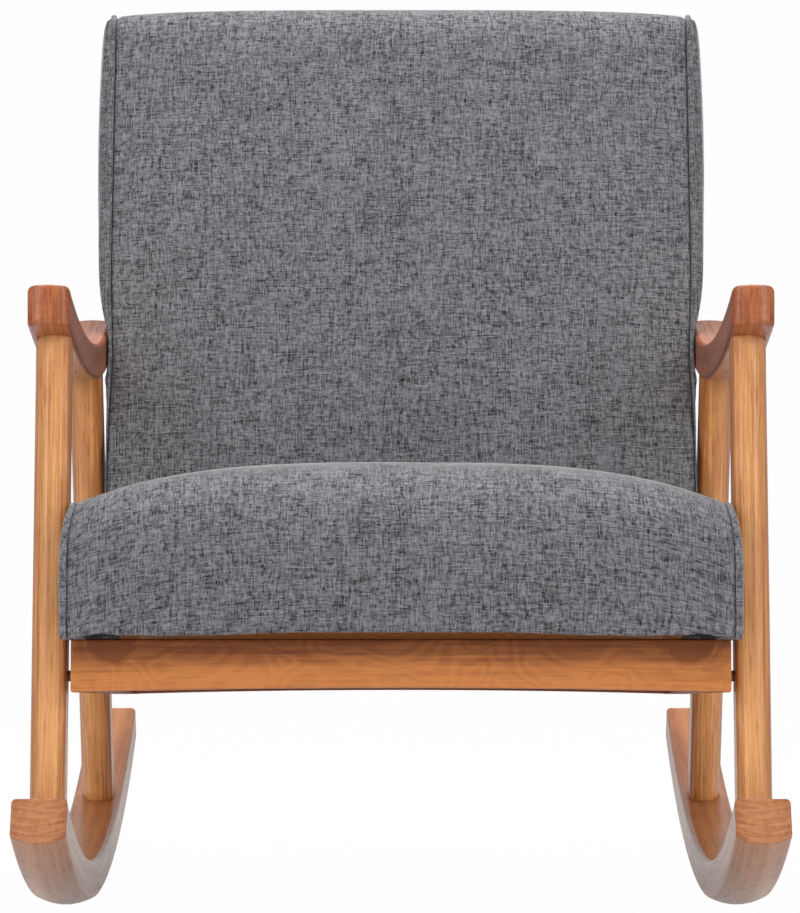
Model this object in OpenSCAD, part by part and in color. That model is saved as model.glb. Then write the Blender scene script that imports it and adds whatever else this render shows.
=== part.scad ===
// Upholstered rocking chair: two glued side frames with a bolted seat and back.
// The chair faces -Y and +X is the sitter's left. The origin lies on the floor,
// in the middle of the rockers' length and width. All sizes are in millimetres.

/* [Rockers] */
// Distance between the middle planes of the two side frames
frame_spacing = 641; // [600:1:680]
// Distance from a rocker's front tip back to its lowest point
rocker_front_len = 391; // [370:1:410]
// Distance from the lowest point back to the rear tip
rocker_rear_len = 508; // [480:1:520]
// Radius of the underside ahead of the lowest point
rocker_front_r = 837; // [790:1:880]
// Radius of the underside behind the lowest point
rocker_rear_r = 1215; // [1180:5:1320]
// Width of a rocker
rocker_w = 50; // [44:1:54]
// Offset of a rocker outwards from the middle plane of its legs
rocker_offset = 1; // [0:0.5:3]
// Height of a rocker's flat sides
rocker_side_h = 36; // [30:1:42]
// Depth of the rounded belly below the sides
rocker_belly = 7; // [4:0.5:10]
// Rounding of a rocker's top edges
rocker_edge_r = 4.5; // [2:0.5:8]

/* [Legs] */
// Width of a leg across the chair
leg_w = 33; // [30:1:36]
// Depth of a leg along the chair
leg_d = 36; // [32:1:40]
// Rounding of a leg's two outer long edges
leg_outer_r = 15; // [7:1:15]
// Rounding of a leg's two inner long edges
leg_inner_r = 3.5; // [2:0.5:8]
// Distance from the front tips to the front leg's axis, measured on the floor
front_leg_y = 72; // [60:1:84]
// Backward lean of the front legs, in degrees
front_lean = 8.4; // [6:0.1:10]
// Distance from the front tips to the rear leg's axis, measured on the floor
rear_leg_y = 686; // [660:1:710]
// Forward lean of the rear legs, in degrees
rear_lean = 19.5; // [17:0.5:22]

/* [Armrests] */
// Width of an armrest
arm_w = 39; // [35:1:44]
// Thickness of an armrest
arm_t = 35; // [30:1:40]
// Height of the armrest's top at its lowest point
arm_low_z = 547.7; // [520:0.1:570]
// Distance from the front tips to that lowest point
arm_low_y = 425; // [400:1:450]
// Radius of the armrest's top ahead of its lowest point
arm_front_r = 1120; // [1000:10:1400]
// Radius of the armrest's top behind its lowest point
arm_rear_r = 620; // [540:10:700]
// Overhang of the armrest ahead of the front leg's axis
arm_front_over = 52; // [40:1:60]
// Overhang of the armrest behind the rear leg's axis
arm_rear_over = 109; // [95:1:120]
// Radius of the armrest's rounded ends, seen from above
arm_nose_r = 32; // [26:1:60]
// Rounding of an armrest's long edges
arm_edge_r = 3; // [1.5:0.5:5]
// Offset of an armrest outwards from the middle plane of its legs
arm_offset = 1; // [0:0.5:2]

/* [Seat frame] */
// Height of the front seat bolts above the floor
seat_bolt_z = 238; // [225:1:250]
// Backward slope of the seat frame, in degrees
seat_slope = 4.3; // [2:0.1:6]
// Length of the spacer between a leg and the seat frame
seat_spacer_len = 5.5; // [3:0.5:8]
// Height of the seat rails
rail_h = 48; // [42:1:56]
// Thickness of the seat rails
rail_t = 22; // [18:1:26]
// Height of the seat bolts above the rails' lower edges
seat_bolt_up = 15; // [13:0.5:18]
// Distance from the front seat bolts forward to the front rail's face
front_rail_ahead = 36; // [32:1:42]
// Rise of the arch under the front and rear rails
rail_arch = 4; // [1:0.5:6]
// Distance from the rear seat bolts forward to the rear rail's back face
rear_rail_ahead = 34; // [24:1:44]
// Length of the side rails behind the rear seat bolts
side_rail_tail = 22; // [16:1:30]
// Height of the middle cross rail, under the rear of the seat board
cross_rail_h = 28; // [24:1:34]
// Distance from the rear seat bolts forward to the middle cross rail
cross_rail_ahead = 216; // [200:2:250]
// Leg length of the triangular corner blocks
corner_block_leg = 44; // [38:1:50]
// Height of the corner blocks
corner_block_h = 21; // [18:0.5:22]

/* [Seat cushion] */
// Thickness of the plywood seat board
seat_board_t = 12; // [9:1:15]
// Diameter of the breather holes in the seat board
breather_d = 30; // [20:1:50]
// Distance of the board's front edge behind the cushion's nose
board_setback = 12; // [6:1:16]
// Width of the cover's edge that is turned in under the board
flange_w = 26; // [20:1:32]
// Height of the cushion at its side edges
seat_cushion_h = 122; // [105:1:135]
// Extra height of the cushion in the middle
seat_crown = 37; // [20:1:42]
// Distance from the front seat bolts forward to the cushion's nose
seat_nose_ahead = 75; // [65:1:80]
// Rounding of the cushion's upper front edge
seat_nose_r = 42; // [30:1:55]
// Bulge of the nose past the front legs' inner faces
seat_nose_bulge = 5; // [2:0.5:8]
// Gap between the cushion's sides and the legs
seat_side_gap = 1.5; // [0.5:0.5:3]

/* [Back] */
// Height of the lower back bolts above the floor
back_bolt_z = 382; // [365:1:395]
// Distance from the armrest's rear end to the upper back bolt
back_bolt_in = 16; // [14:1:22]
// Width of the back's stiles
stile_w = 30; // [25:1:36]
// Height of the back's three cross rails
back_rail_h = 50; // [40:1:60]
// Thickness of the back's wooden frame
back_frame_t = 24; // [20:1:28]
// Length of the back below the lower bolts
back_below = 136; // [110:1:140]
// Length of the back above the lower bolts
back_above = 528; // [500:1:545]
// Depth of padding in front of the back frame, at its sides
back_front_pad = 43; // [35:1:50]
// Depth of padding behind the back frame
back_rear_pad = 13; // [8:1:18]
// Forward bulge of the back in its middle
back_crown = 11; // [5:1:16]
// Sideways bulge of the back above the armrests
back_side_bulge = 12; // [5:1:14]
// Height above the upper bolts where the back starts to widen
back_step_up = 24; // [20:1:40]
// Height over which the back widens
back_step_h = 40; // [20:2:60]
// Rise of the back's upper edge in its middle
back_top_rise = 5; // [2:1:10]
// Rounding of the back's upper front edge
back_top_r = 26; // [18:1:32]
// Width of the cut at the back's upper corners
back_corner_w = 6; // [3:1:10]
// Height of the cut at the back's upper corners
back_corner_h = 30; // [20:1:40]
// Distance of the back frame inside the back's lower end
back_frame_in_low = 10; // [8:1:14]
// Distance of the back frame inside the back's upper end
back_frame_in_high = 16; // [12:1:22]
// Gap between the back's sides and the armrests
back_side_gap = 0.6; // [0.5:0.1:2]
// Number of elastic straps across the back frame
webbing_count = 5; // [3:1:6]
// Width of a strap
webbing_w = 50; // [40:1:55]
// Thickness of a strap
webbing_t = 1.8; // [1:0.1:2.5]
// Distance of the straps' ends inside the frame's outer faces
webbing_in = 4; // [2:1:8]
// Distance of the outermost straps from the top and bottom rails
webbing_rail_gap = 12; // [8:1:20]

/* [Fasteners] */
// Diameter of the bolts
bolt_d = 6; // [5:0.5:8]
// Radial clearance of a bolt in its hole
bolt_clear = 0.3; // [0.2:0.1:0.6]
// Diameter of the bolt heads
bolt_head_d = 11; // [10:0.5:12]
// Height of the bolt heads
bolt_head_h = 3.4; // [3:0.2:4]
// Width across the flats of the socket in a bolt head
hex_key = 4; // [3:0.5:5]
// Free depth of a bolt hole past the bolt's insert
bolt_end_room = 2; // [1:0.5:3]
// Outer diameter of the washers
washer_d = 13; // [12:0.5:16]
// Thickness of the washers
washer_t = 1.2; // [1:0.1:1.6]
// Depth of the recess for a back bolt's head
recess_depth = 7; // [5.5:0.5:9]
// Outer diameter of the threaded inserts
insert_d = 9; // [8.5:0.5:10]
// Length of the threaded inserts
insert_len = 13; // [11:1:14]
// Outer diameter of the spacers
spacer_d = 10; // [9.5:0.5:11]
// Diameter of the wooden dowels
dowel_d = 8; // [6:1:8]
// Length of the dowels in the side frames
dowel_len = 36; // [30:1:40]
// Length of the dowels in the seat and back frames
rail_dowel_len = 30; // [24:1:34]
// Diameter of the wood screws
screw_d = 4; // [3.5:0.5:5]
// Diameter of the wood screws' countersunk heads
screw_head_d = 7.6; // [7:0.2:8]
// Length of the screws that hold the corner blocks
screw_len = 28; // [24:1:32]
// Assembly clearance between pieces that fit together
fit = 0.1; // [0.05:0.05:0.2]
// Thickness of the glue line between a leg and its rocker or armrest
glue = 0.05; // [0.02:0.01:0.1]

/* [Fabric] */
// Thickness of the covers, with their lining
cover_t = 1.5; // [1:0.1:2]
// Clearance between a soft piece and its neighbours
soft_gap = 0.3; // [0.3:0.1:0.5]

/* [Hidden] */
$fn = 96;

wood_pale = [0.84, 0.60, 0.38];
wood_red = [0.66, 0.38, 0.22];
wood_raw = [0.80, 0.68, 0.50];
steel = [0.62, 0.62, 0.64];
bronze = [0.33, 0.25, 0.19];
cloth = [0.36, 0.36, 0.38];
cambric = [0.10, 0.10, 0.11];
foam_tone = [0.93, 0.90, 0.80];

// Lines along Y: everything is placed from the plane of the rockers' front tips.
tip_y = -(rocker_front_len + rocker_rear_len) / 2;
low_y = tip_y + rocker_front_len;
rocker_h = rocker_side_h + rocker_belly;
rocker_front_angle = asin(rocker_front_len / rocker_front_r);
rocker_rear_angle = asin(rocker_rear_len / rocker_rear_r);
belly_r = (pow(rocker_w / 2, 2) + pow(rocker_belly, 2)) / (2 * rocker_belly);

frame_x = frame_spacing / 2;
leg_in_x = frame_x - leg_w / 2;
leg_out_x = frame_x + leg_w / 2;
rocker_x = frame_x + rocker_offset;
arm_x = frame_x + arm_offset;
arm_in_x = arm_x - arm_w / 2;
arm_out_x = arm_x + arm_w / 2;

// Height and place of each leg's axis.
function front_axis_y(z) = tip_y + front_leg_y + z * tan(front_lean);
function rear_axis_y(z) = tip_y + rear_leg_y - z * tan(rear_lean);

// Centres of the two arcs of a rocker and of an armrest, in the YZ plane.
rocker_front_z = rocker_front_r;
rocker_rear_z = rocker_rear_r;
arm_mid_y = tip_y + arm_low_y;
arm_front_z = arm_low_z + arm_front_r;
arm_rear_z = arm_low_z + arm_rear_r;

// Height of an arc below its centre, at a distance dy from its lowest point
function arc_under(r, centre_z, dy) = centre_z - sqrt(r * r - dy * dy);
// Height where each leg's axis meets its rocker and its armrest, from a first guess of it
foot_guess = 2 * rocker_h;
head_guess = arm_low_z - arm_t / 2;
front_foot_z = arc_under(rocker_front_r - rocker_h, rocker_front_z, low_y - front_axis_y(foot_guess));
rear_foot_z = arc_under(rocker_rear_r - rocker_h, rocker_rear_z, rear_axis_y(foot_guess) - low_y);
front_head_z = arc_under(arm_front_r + arm_t, arm_front_z, arm_mid_y - front_axis_y(head_guess));
rear_head_z = arc_under(arm_rear_r + arm_t, arm_rear_z, rear_axis_y(head_guess) - arm_mid_y);
arm_front_y = front_axis_y(front_head_z) - arm_front_over;
arm_end_y = rear_axis_y(rear_head_z) + arm_rear_over;

// Seat frame: a tilted frame of its own, with its origin at the front seat bolt.
seat_y = front_axis_y(seat_bolt_z);
frame_half_w = leg_in_x - seat_spacer_len;
rail_bottom = -seat_bolt_up;
rail_top = rail_bottom + rail_h;
// Distance along the slope from the front seat bolt to the rear leg's axis
seat_bolt_pitch = (rear_axis_y(seat_bolt_z) - seat_y)
    / (cos(seat_slope) - sin(seat_slope) * tan(rear_lean));
front_rail_back = rail_t - front_rail_ahead;
rear_rail_back = seat_bolt_pitch - rear_rail_ahead;
side_rail_end = seat_bolt_pitch + side_rail_tail;
cross_rail_back = seat_bolt_pitch - cross_rail_ahead;
side_rail_x = frame_half_w - rail_t / 2;
rail_in_x = frame_half_w - rail_t;
rail_gap = fit / 2;
// Both rows of dowels lie above the seat bolts
rail_dowel_heights = [rail_bottom + rail_h * 0.55, rail_bottom + rail_h * 0.85];
block_low = rail_top - corner_block_h;
// Share of a dowel that goes into the end grain of a cross rail
dowel_share = 0.6;
// Depth of a dowel hole beyond the dowel's end
dowel_end_room = 0.5;

// Back: a tilted frame of its own, with its origin at the lower back bolts.
back_y = rear_axis_y(back_bolt_z);
back_top_y = arm_end_y - back_bolt_in;
back_top_z = arc_under(arm_rear_r + arm_t / 2, arm_rear_z, back_top_y - arm_mid_y);
back_lean = atan2(back_top_y - back_y, back_top_z - back_bolt_z);
back_bolt_pitch = norm([back_top_y - back_y, back_top_z - back_bolt_z]);
back_half_w = arm_in_x - back_side_gap;
stile_out_x = back_half_w - cover_t - soft_gap;
back_front_w = -(back_frame_t / 2 + back_front_pad);
back_rear_w = back_frame_t / 2 + back_rear_pad;
back_crown_r = (pow(back_half_w, 2) + pow(back_crown, 2)) / (2 * back_crown);
back_step_low = back_bolt_pitch + back_step_up;
back_step_high = back_step_low + back_step_h;
back_frame_low = -back_below + back_frame_in_low;
back_frame_high = back_above - back_frame_in_high;
half_t = back_frame_t / 2;
back_rail_heights = [
    back_frame_low,
    back_bolt_pitch / 2 - back_rail_h / 2,
    back_frame_high - back_rail_h
];

// Seat cushion, in the seat frame's own axes.
seat_half_w = leg_in_x - seat_side_gap;
nose_half_w = leg_in_x + seat_nose_bulge;
cushion_low = rail_top;
cushion_edge = cushion_low + seat_cushion_h;
seat_crown_r = (pow(nose_half_w, 2) + pow(seat_crown, 2)) / (2 * seat_crown);
board_low = cushion_low + cover_t;
board_top = board_low + seat_board_t;
board_half_w = seat_half_w - cover_t - soft_gap;
board_front = -seat_nose_ahead + cover_t + board_setback;
board_rear = rear_rail_back - rail_t;
breather_row = cross_rail_back / 4;

// Bolts
bolt_hole_d = bolt_d + 2 * bolt_clear;
seat_bore_end_x = leg_in_x + insert_len + bolt_end_room;
back_bolt_tip_x = stile_out_x - insert_len - bolt_end_room;
leg_seat_x = leg_out_x - recess_depth;
arm_seat_x = arm_out_x - recess_depth;
hex_d = hex_key / cos(30);

// ---------- helpers ----------

// The right side of the chair is the mirror image of the left side.
module right_side() { mirror([1, 0, 0]) children(); }

module both_sides() {
    children();
    right_side() children();
}

// Tilted frames of the seat and of the back
module in_seat() { translate([0, seat_y, seat_bolt_z]) rotate([-seat_slope, 0, 0]) children(); }
module in_back() { translate([0, back_y, back_bolt_z]) rotate([-back_lean, 0, 0]) children(); }

// Turns a drawing in (Y, Z), extruded along +Z, into a slab along +X.
module along_x(x0, x1) {
    translate([x0, 0, 0]) rotate([90, 0, 90]) linear_extrude(x1 - x0) children();
}

// A cylinder along +X from x0 to x1
module rod_x(x0, x1, d) { translate([x0, 0, 0]) rotate([0, 90, 0]) cylinder(h = x1 - x0, d = d); }

// A big cylinder along the whole width, round a centre in the YZ plane
module drum(y, z, r) {
    translate([-frame_spacing, y, z]) rotate([0, 90, 0]) cylinder(h = 2 * frame_spacing, r = r, $fn = 360);
}

// Sweeps a section round a centre in the YZ plane, from straight down to an angle that
// is positive towards +Y. In the section, X is the distance from the arc of radius r.
module sweep_yz(y, z, r, angle) {
    translate([0, y, z]) rotate([90, 0, 90]) rotate([0, 0, -90])
        rotate_extrude(angle = angle, $fn = 360) translate([r, 0]) children();
}

// ---------- rockers ----------

// Section of a rocker, with the belly's lowest point at the origin, X down and Y across.
// The belly is one arc from side to side, and the two top edges are quarter circles.
module rocker_section() {
    half = rocker_w / 2;
    belly_angle = asin(half / belly_r);
    polygon([
        for (k = [-8 : 8]) let (a = belly_angle * k / 8) [belly_r * (cos(a) - 1), belly_r * sin(a)],
        for (k = [0 : 4]) let (a = 90 * k / 4)
            [-rocker_h + rocker_edge_r * (1 - sin(a)), half - rocker_edge_r * (1 - cos(a))],
        for (k = [4 : -1 : 0]) let (a = 90 * k / 4)
            [-rocker_h + rocker_edge_r * (1 - sin(a)), -half + rocker_edge_r * (1 - cos(a))]
    ]);
}

module rocker() {
    difference() {
        translate([rocker_x, 0, 0]) union() {
            sweep_yz(low_y, rocker_front_z, rocker_front_r, -rocker_front_angle) rocker_section();
            sweep_yz(low_y, rocker_rear_z, rocker_rear_r, rocker_rear_angle) rocker_section();
        }
        foot_dowels(fit);
    }
}

module rocker_left() { color(wood_red) rocker(); }
module rocker_right() { color(wood_red) right_side() rocker(); }

// ---------- legs ----------

// Section of a leg round its axis, with X outwards: each corner is a quarter circle
module leg_section() {
    outer = min(leg_outer_r, leg_w / 2, leg_d / 2);
    corners = [[1, 1, outer], [-1, 1, leg_inner_r], [-1, -1, leg_inner_r], [1, -1, outer]];
    polygon([
        for (q = [0 : 3], k = [0 : 6]) let (c = corners[q], a = 90 * (q + k / 6))
            [c.x * (leg_w / 2 - c.z) + c.z * cos(a), c.y * (leg_d / 2 - c.z) + c.z * sin(a)]
    ]);
}

// Bar of a leg round its own axis, much longer than the leg
module leg_bar(y, lean) {
    translate([frame_x, y, 0]) rotate([-lean, 0, 0]) linear_extrude(700) leg_section();
}

module front_leg() {
    difference() {
        intersection() {
            leg_bar(tip_y + front_leg_y, front_lean);
            drum(low_y, rocker_front_z, rocker_front_r - rocker_h - glue);
        }
        drum(arm_mid_y, arm_front_z, arm_front_r + arm_t + glue);
        foot_dowels(fit);
        head_dowels(fit);
        translate([0, seat_y, seat_bolt_z]) rod_x(leg_in_x - 1, seat_bore_end_x, insert_d + 2 * fit);
    }
}

module rear_leg() {
    difference() {
        intersection() {
            leg_bar(tip_y + rear_leg_y, -rear_lean);
            drum(low_y, rocker_rear_z, rocker_rear_r - rocker_h - glue);
        }
        drum(arm_mid_y, arm_rear_z, arm_rear_r + arm_t + glue);
        foot_dowels(fit);
        head_dowels(fit);
        in_seat() translate([0, seat_bolt_pitch, 0]) rod_x(leg_in_x - 1, seat_bore_end_x, insert_d + 2 * fit);
        in_back() back_bolt_bore(leg_in_x - 1, leg_seat_x, leg_out_x + 1);
    }
}

module front_leg_left() { color(wood_pale) front_leg(); }
module front_leg_right() { color(wood_pale) right_side() front_leg(); }
module rear_leg_left() { color(wood_pale) rear_leg(); }
module rear_leg_right() { color(wood_pale) right_side() rear_leg(); }

// ---------- armrests ----------

// Section of an armrest, with the middle of its top face at the origin, X down and Y
// across. Each of its four corners is a quarter circle.
module arm_section() {
    corners = [[1, 1], [-1, 1], [-1, -1], [1, -1]];
    translate([arm_t / 2, 0]) polygon([
        for (q = [0 : 3], k = [0 : 4]) let (a = 90 * (q + k / 4)) [
            corners[q].x * (arm_t / 2 - arm_edge_r) + arm_edge_r * cos(a),
            corners[q].y * (arm_w / 2 - arm_edge_r) + arm_edge_r * sin(a)
        ]
    ]);
}

module armrest() {
    front_angle = asin((arm_mid_y - arm_front_y) / arm_front_r) + 2;
    rear_angle = asin((arm_end_y - arm_mid_y) / arm_rear_r) + 2;
    difference() {
        intersection() {
            translate([arm_x, 0, 0]) union() {
                sweep_yz(arm_mid_y, arm_front_z, arm_front_r, -front_angle) arm_section();
                sweep_yz(arm_mid_y, arm_rear_z, arm_rear_r, rear_angle) arm_section();
            }
            // Plan of the armrest, with its two rounded ends
            translate([arm_x, 0, 0]) linear_extrude(2 * arm_low_z) {
                translate([0, arm_front_y + arm_nose_r]) circle(arm_nose_r);
                translate([0, arm_end_y - arm_nose_r]) circle(arm_nose_r);
                translate([-arm_w, arm_front_y + arm_nose_r])
                    square([2 * arm_w, arm_end_y - arm_front_y - 2 * arm_nose_r]);
            }
        }
        head_dowels(fit);
        in_back() translate([0, 0, back_bolt_pitch]) back_bolt_bore(arm_in_x - 1, arm_seat_x, arm_out_x + 1);
    }
}

module armrest_left() { color(wood_red) armrest(); }
module armrest_right() { color(wood_red) right_side() armrest(); }

// ---------- dowels of the side frames ----------

// A dowel along +Z from z0; its hole is wider by the clearance, and 0.5 mm longer at each end
module dowel(z0, len, grow) {
    room = grow > 0 ? dowel_end_room : 0;
    translate([0, 0, z0 - room]) cylinder(h = len + 2 * room, d = dowel_d + 2 * grow);
}

// Two dowels across a joint: their middle is on the joint, and they run along the leg
module joint_dowels(y, z, lean, grow) {
    translate([frame_x, y, z]) rotate([-lean, 0, 0]) for (j = [-1, 1]) {
        translate([0, j * leg_d / 4, 0]) dowel(-dowel_len / 2, dowel_len, grow);
    }
}

module foot_dowels(grow) {
    joint_dowels(front_axis_y(front_foot_z), front_foot_z, front_lean, grow);
    joint_dowels(rear_axis_y(rear_foot_z), rear_foot_z, -rear_lean, grow);
}

module head_dowels(grow) {
    joint_dowels(front_axis_y(front_head_z), front_head_z, front_lean, grow);
    joint_dowels(rear_axis_y(rear_head_z), rear_head_z, -rear_lean, grow);
}

module rocker_dowels() { color(wood_raw) both_sides() foot_dowels(0); }
module arm_dowels() { color(wood_raw) both_sides() head_dowels(0); }

// ---------- seat frame ----------

// Dowels from the side rails' front ends into the front rail, and from the ends of
// the rear rail and of the middle cross rail into the side rails
module one_side_rail_dowels(grow) {
    for (i = [-1, 1]) {
        translate([rail_in_x, cross_rail_back + rail_t / 2, rail_top - cross_rail_h * (0.5 + i * 0.22)])
            rotate([0, 90, 0]) dowel(-rail_dowel_len * dowel_share, rail_dowel_len, grow);
    }
    for (h = rail_dowel_heights) {
        translate([side_rail_x, front_rail_back, h]) rotate([-90, 0, 0])
            dowel(-rail_dowel_len * (1 - dowel_share), rail_dowel_len, grow);
        translate([rail_in_x, rear_rail_back - rail_t / 2, h]) rotate([0, 90, 0])
            dowel(-rail_dowel_len * dowel_share, rail_dowel_len, grow);
    }
}

module rail_dowels() { color(wood_raw) in_seat() both_sides() one_side_rail_dowels(0); }

// A cross rail with a shallow arch along its lower edge, drawn in (X, height) and
// extruded back from its front face
module arched_rail(half, front) {
    steps = 16;
    translate([0, front + rail_t, 0]) rotate([90, 0, 0]) linear_extrude(rail_t) polygon([
        for (k = [0 : steps])
            [half * (2 * k / steps - 1), rail_bottom + rail_arch * (1 - pow(2 * k / steps - 1, 2))],
        [half, rail_top],
        [-half, rail_top]
    ]);
}

module front_rail() {
    color(wood_red) in_seat() difference() {
        arched_rail(frame_half_w, -front_rail_ahead);
        both_sides() one_side_rail_dowels(fit);
        corner_screws(fit / 2);
    }
}

module rear_rail() {
    color(wood_raw) in_seat() difference() {
        arched_rail(rail_in_x - rail_gap, rear_rail_back - rail_t);
        both_sides() one_side_rail_dowels(fit);
        corner_screws(fit / 2);
    }
}

module middle_cross_rail() {
    half = rail_in_x - rail_gap;
    color(wood_raw) in_seat() difference() {
        translate([-half, cross_rail_back, rail_top - cross_rail_h]) cube([2 * half, rail_t, cross_rail_h]);
        both_sides() one_side_rail_dowels(fit);
        board_screws(fit / 2);
    }
}

module side_rail() {
    start = front_rail_back + rail_gap;
    in_seat() difference() {
        translate([rail_in_x, start, rail_bottom]) cube([rail_t, side_rail_end - start, rail_h]);
        one_side_rail_dowels(fit);
        for (s = [0, seat_bolt_pitch]) {
            translate([0, s, 0]) rod_x(rail_in_x - 1, frame_half_w + 1, bolt_hole_d);
        }
        corner_screws(fit / 2);
    }
}

module side_rail_left() { color(wood_raw) side_rail(); }
module side_rail_right() { color(wood_raw) right_side() side_rail(); }

// Places its children in the corner between a side rail and the front or rear rail:
// +X points away from the side rail, +Y away from the cross rail.
module at_corner(front) {
    x = rail_in_x - rail_gap;
    s = front ? front_rail_back + rail_gap : rear_rail_back - rail_t - rail_gap;
    translate([x, s, 0]) mirror([1, 0, 0]) mirror([0, front ? 0 : 1, 0]) children();
}

module corner_blocks() {
    color(wood_raw) in_seat() difference() {
        both_sides() for (front = [true, false]) {
            at_corner(front) translate([0, 0, block_low]) linear_extrude(corner_block_h)
                polygon([[0, 0], [corner_block_leg, 0], [0, corner_block_leg]]);
        }
        corner_screws(fit / 2);
        board_screws(fit / 2);
    }
}

// One wood screw along +Z: the flat top of its countersunk head lies at the origin.
// Its hole has an access bore behind the head.
module wood_screw(len, grow) {
    head_r = screw_head_d / 2 + grow;
    cylinder(h = screw_d / 2 + grow, r1 = head_r, r2 = screw_d / 2 + grow);
    cylinder(h = len + 2 * grow, d = screw_d + 2 * grow);
    if (grow > 0) translate([0, 0, -corner_block_leg / 2]) cylinder(h = corner_block_leg / 2, r = head_r);
}

// Two screws in each corner block: one into the cross rail and one into the side rail
module corner_screws(grow) {
    h = block_low + corner_block_h / 2;
    near = corner_block_leg * 0.3;
    far = corner_block_leg * 0.58;
    both_sides() for (front = [true, false]) {
        at_corner(front) {
            translate([far, near, h + corner_block_h / 5]) rotate([90, 0, 0]) wood_screw(screw_len, grow);
            translate([near, far, h - corner_block_h / 5]) rotate([0, -90, 0]) wood_screw(screw_len, grow);
        }
    }
}

module corner_block_screws() { color(steel) in_seat() corner_screws(0); }

// ---------- seat board and cushion ----------

// Outline of the seat cushion seen from the side, shrunk by an inset on all sides
module seat_profile(inset, low) {
    nose = -seat_nose_ahead + inset;
    high = cushion_edge + seat_crown - inset;
    r = seat_nose_r + seat_crown / 2 - inset;
    difference() {
        translate([nose, low]) square([700, high - low]);
        translate([nose, high]) corner_waste_top(r);
    }
}

// The waste outside the rounded upper front edge, a quarter of a circle
module corner_waste_top(r) {
    difference() {
        translate([-1, -r]) square([r + 1, r + 1]);
        translate([r, -r]) circle(r);
    }
}

// Solid of the seat cushion: a crowned block with its nose in front of the legs
module seat_solid(inset, low) {
    difference() {
        in_seat() intersection() {
            along_x(-nose_half_w + inset, nose_half_w - inset) seat_profile(inset, low);
            translate([0, -200, cushion_edge + seat_crown - inset - seat_crown_r])
                rotate([-90, 0, 0]) cylinder(h = 1100, r = seat_crown_r, $fn = 720);
        }
        // Room for the legs on both sides
        both_sides() translate([seat_half_w - inset, 0, 0]) {
            leg_front = tip_y + front_leg_y - leg_d / 2 / cos(front_lean) - seat_side_gap - inset;
            translate([0, leg_front, 0]) rotate([-front_lean, 0, 0]) cube([60, 900, 700]);
        }
        behind_back_front(seat_side_gap + inset);
    }
}

// Everything behind the crowned front face of the back, which is moved forward by a gap
// and goes on below the back
module behind_back_front(gap) {
    in_back() translate([0, back_front_w - back_crown - gap + back_crown_r, -back_above])
        cylinder(h = 2 * back_above, r = back_crown_r, $fn = 720);
}

// Plywood board with round breather holes
module seat_board() {
    color(wood_raw) difference() {
        in_seat() difference() {
            translate([-board_half_w, board_front, board_low])
                cube([2 * board_half_w, board_rear - board_front, seat_board_t]);
            for (i = [-1, 0, 1], j = [-1, 1]) {
                translate([i * board_half_w / 2, (2 + j) * breather_row, board_low - 1])
                    cylinder(h = seat_board_t + 2, d = breather_d);
            }
            board_screws(fit / 2);
        }
        behind_back_front(seat_side_gap + cover_t + soft_gap);
    }
}

// Screws into the seat board: up through the front corner blocks, and through the
// middle cross rail
module board_screws(grow) {
    h = block_low + 1;
    reach = board_top - 3 - h;
    both_sides() {
        at_corner(true) translate([corner_block_leg * 0.24, corner_block_leg * 0.24, h])
            wood_screw(reach, grow);
        translate([board_half_w / 2, cross_rail_back + rail_t / 2, h]) wood_screw(reach, grow);
    }
}

module seat_board_screws() { color(steel) in_seat() board_screws(0); }

module seat_foam() {
    color(foam_tone) seat_solid(cover_t + soft_gap, board_top + soft_gap);
}

// Fabric cover, wrapped round the foam and turned in under the board
module seat_cover() {
    color(cloth) difference() {
        seat_solid(0, cushion_low);
        seat_solid(cover_t, board_low);
        difference() {
            in_seat() translate([-board_half_w + flange_w, board_front + flange_w, cushion_low - 1])
                cube([2 * (board_half_w - flange_w), board_rear - board_front, cover_t + 2]);
            behind_back_front(seat_side_gap + cover_t + flange_w);
        }
        in_seat() board_screws(soft_gap);
    }
}

// Thin black cloth that closes the cushion from below, inside the rails
module seat_dust_cover() {
    half = board_half_w - flange_w - soft_gap;
    color(cambric) difference() {
        in_seat() translate([-half, board_front + flange_w + soft_gap, cushion_low + soft_gap])
            cube([2 * half, board_rear - board_front, cover_t - 2 * soft_gap]);
        behind_back_front(seat_side_gap + cover_t + flange_w + soft_gap);
        in_seat() board_screws(soft_gap);
    }
}

// ---------- seat fasteners ----------

module at_seat_bolts() {
    in_seat() both_sides() for (s = [0, seat_bolt_pitch]) {
        translate([0, s, 0]) children();
    }
}

// Hexagon socket bolt along +X: its head's flat seat is at x0, its tip at x1
module socket_bolt_x(x0, x1) {
    difference() {
        union() {
            rod_x(x0 - bolt_head_h, x0, bolt_head_d);
            rod_x(x0 - 1, x1, bolt_d);
        }
        translate([x0 - bolt_head_h - 1, 0, 0]) rotate([0, 90, 0]) cylinder(h = 3, d = hex_d, $fn = 6);
    }
}

module washer_x(x0, x1) {
    difference() {
        rod_x(x0, x1, washer_d);
        rod_x(x0 - 1, x1 + 1, bolt_hole_d);
    }
}

module tube_x(x0, x1, outer, inner) {
    difference() {
        rod_x(x0, x1, outer);
        rod_x(x0 - 1, x1 + 1, inner);
    }
}

module seat_bolts() {
    color(steel) at_seat_bolts() socket_bolt_x(rail_in_x - washer_t, leg_in_x + insert_len);
}

module seat_bolt_washers() { color(steel) at_seat_bolts() washer_x(rail_in_x - washer_t, rail_in_x); }
module seat_spacers() { color(bronze) at_seat_bolts() tube_x(frame_half_w, leg_in_x, spacer_d, bolt_hole_d); }
module seat_inserts() {
    color(bronze) at_seat_bolts() tube_x(leg_in_x + fit, leg_in_x + insert_len, insert_d, bolt_d + 2 * fit);
}

// ---------- back ----------

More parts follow.
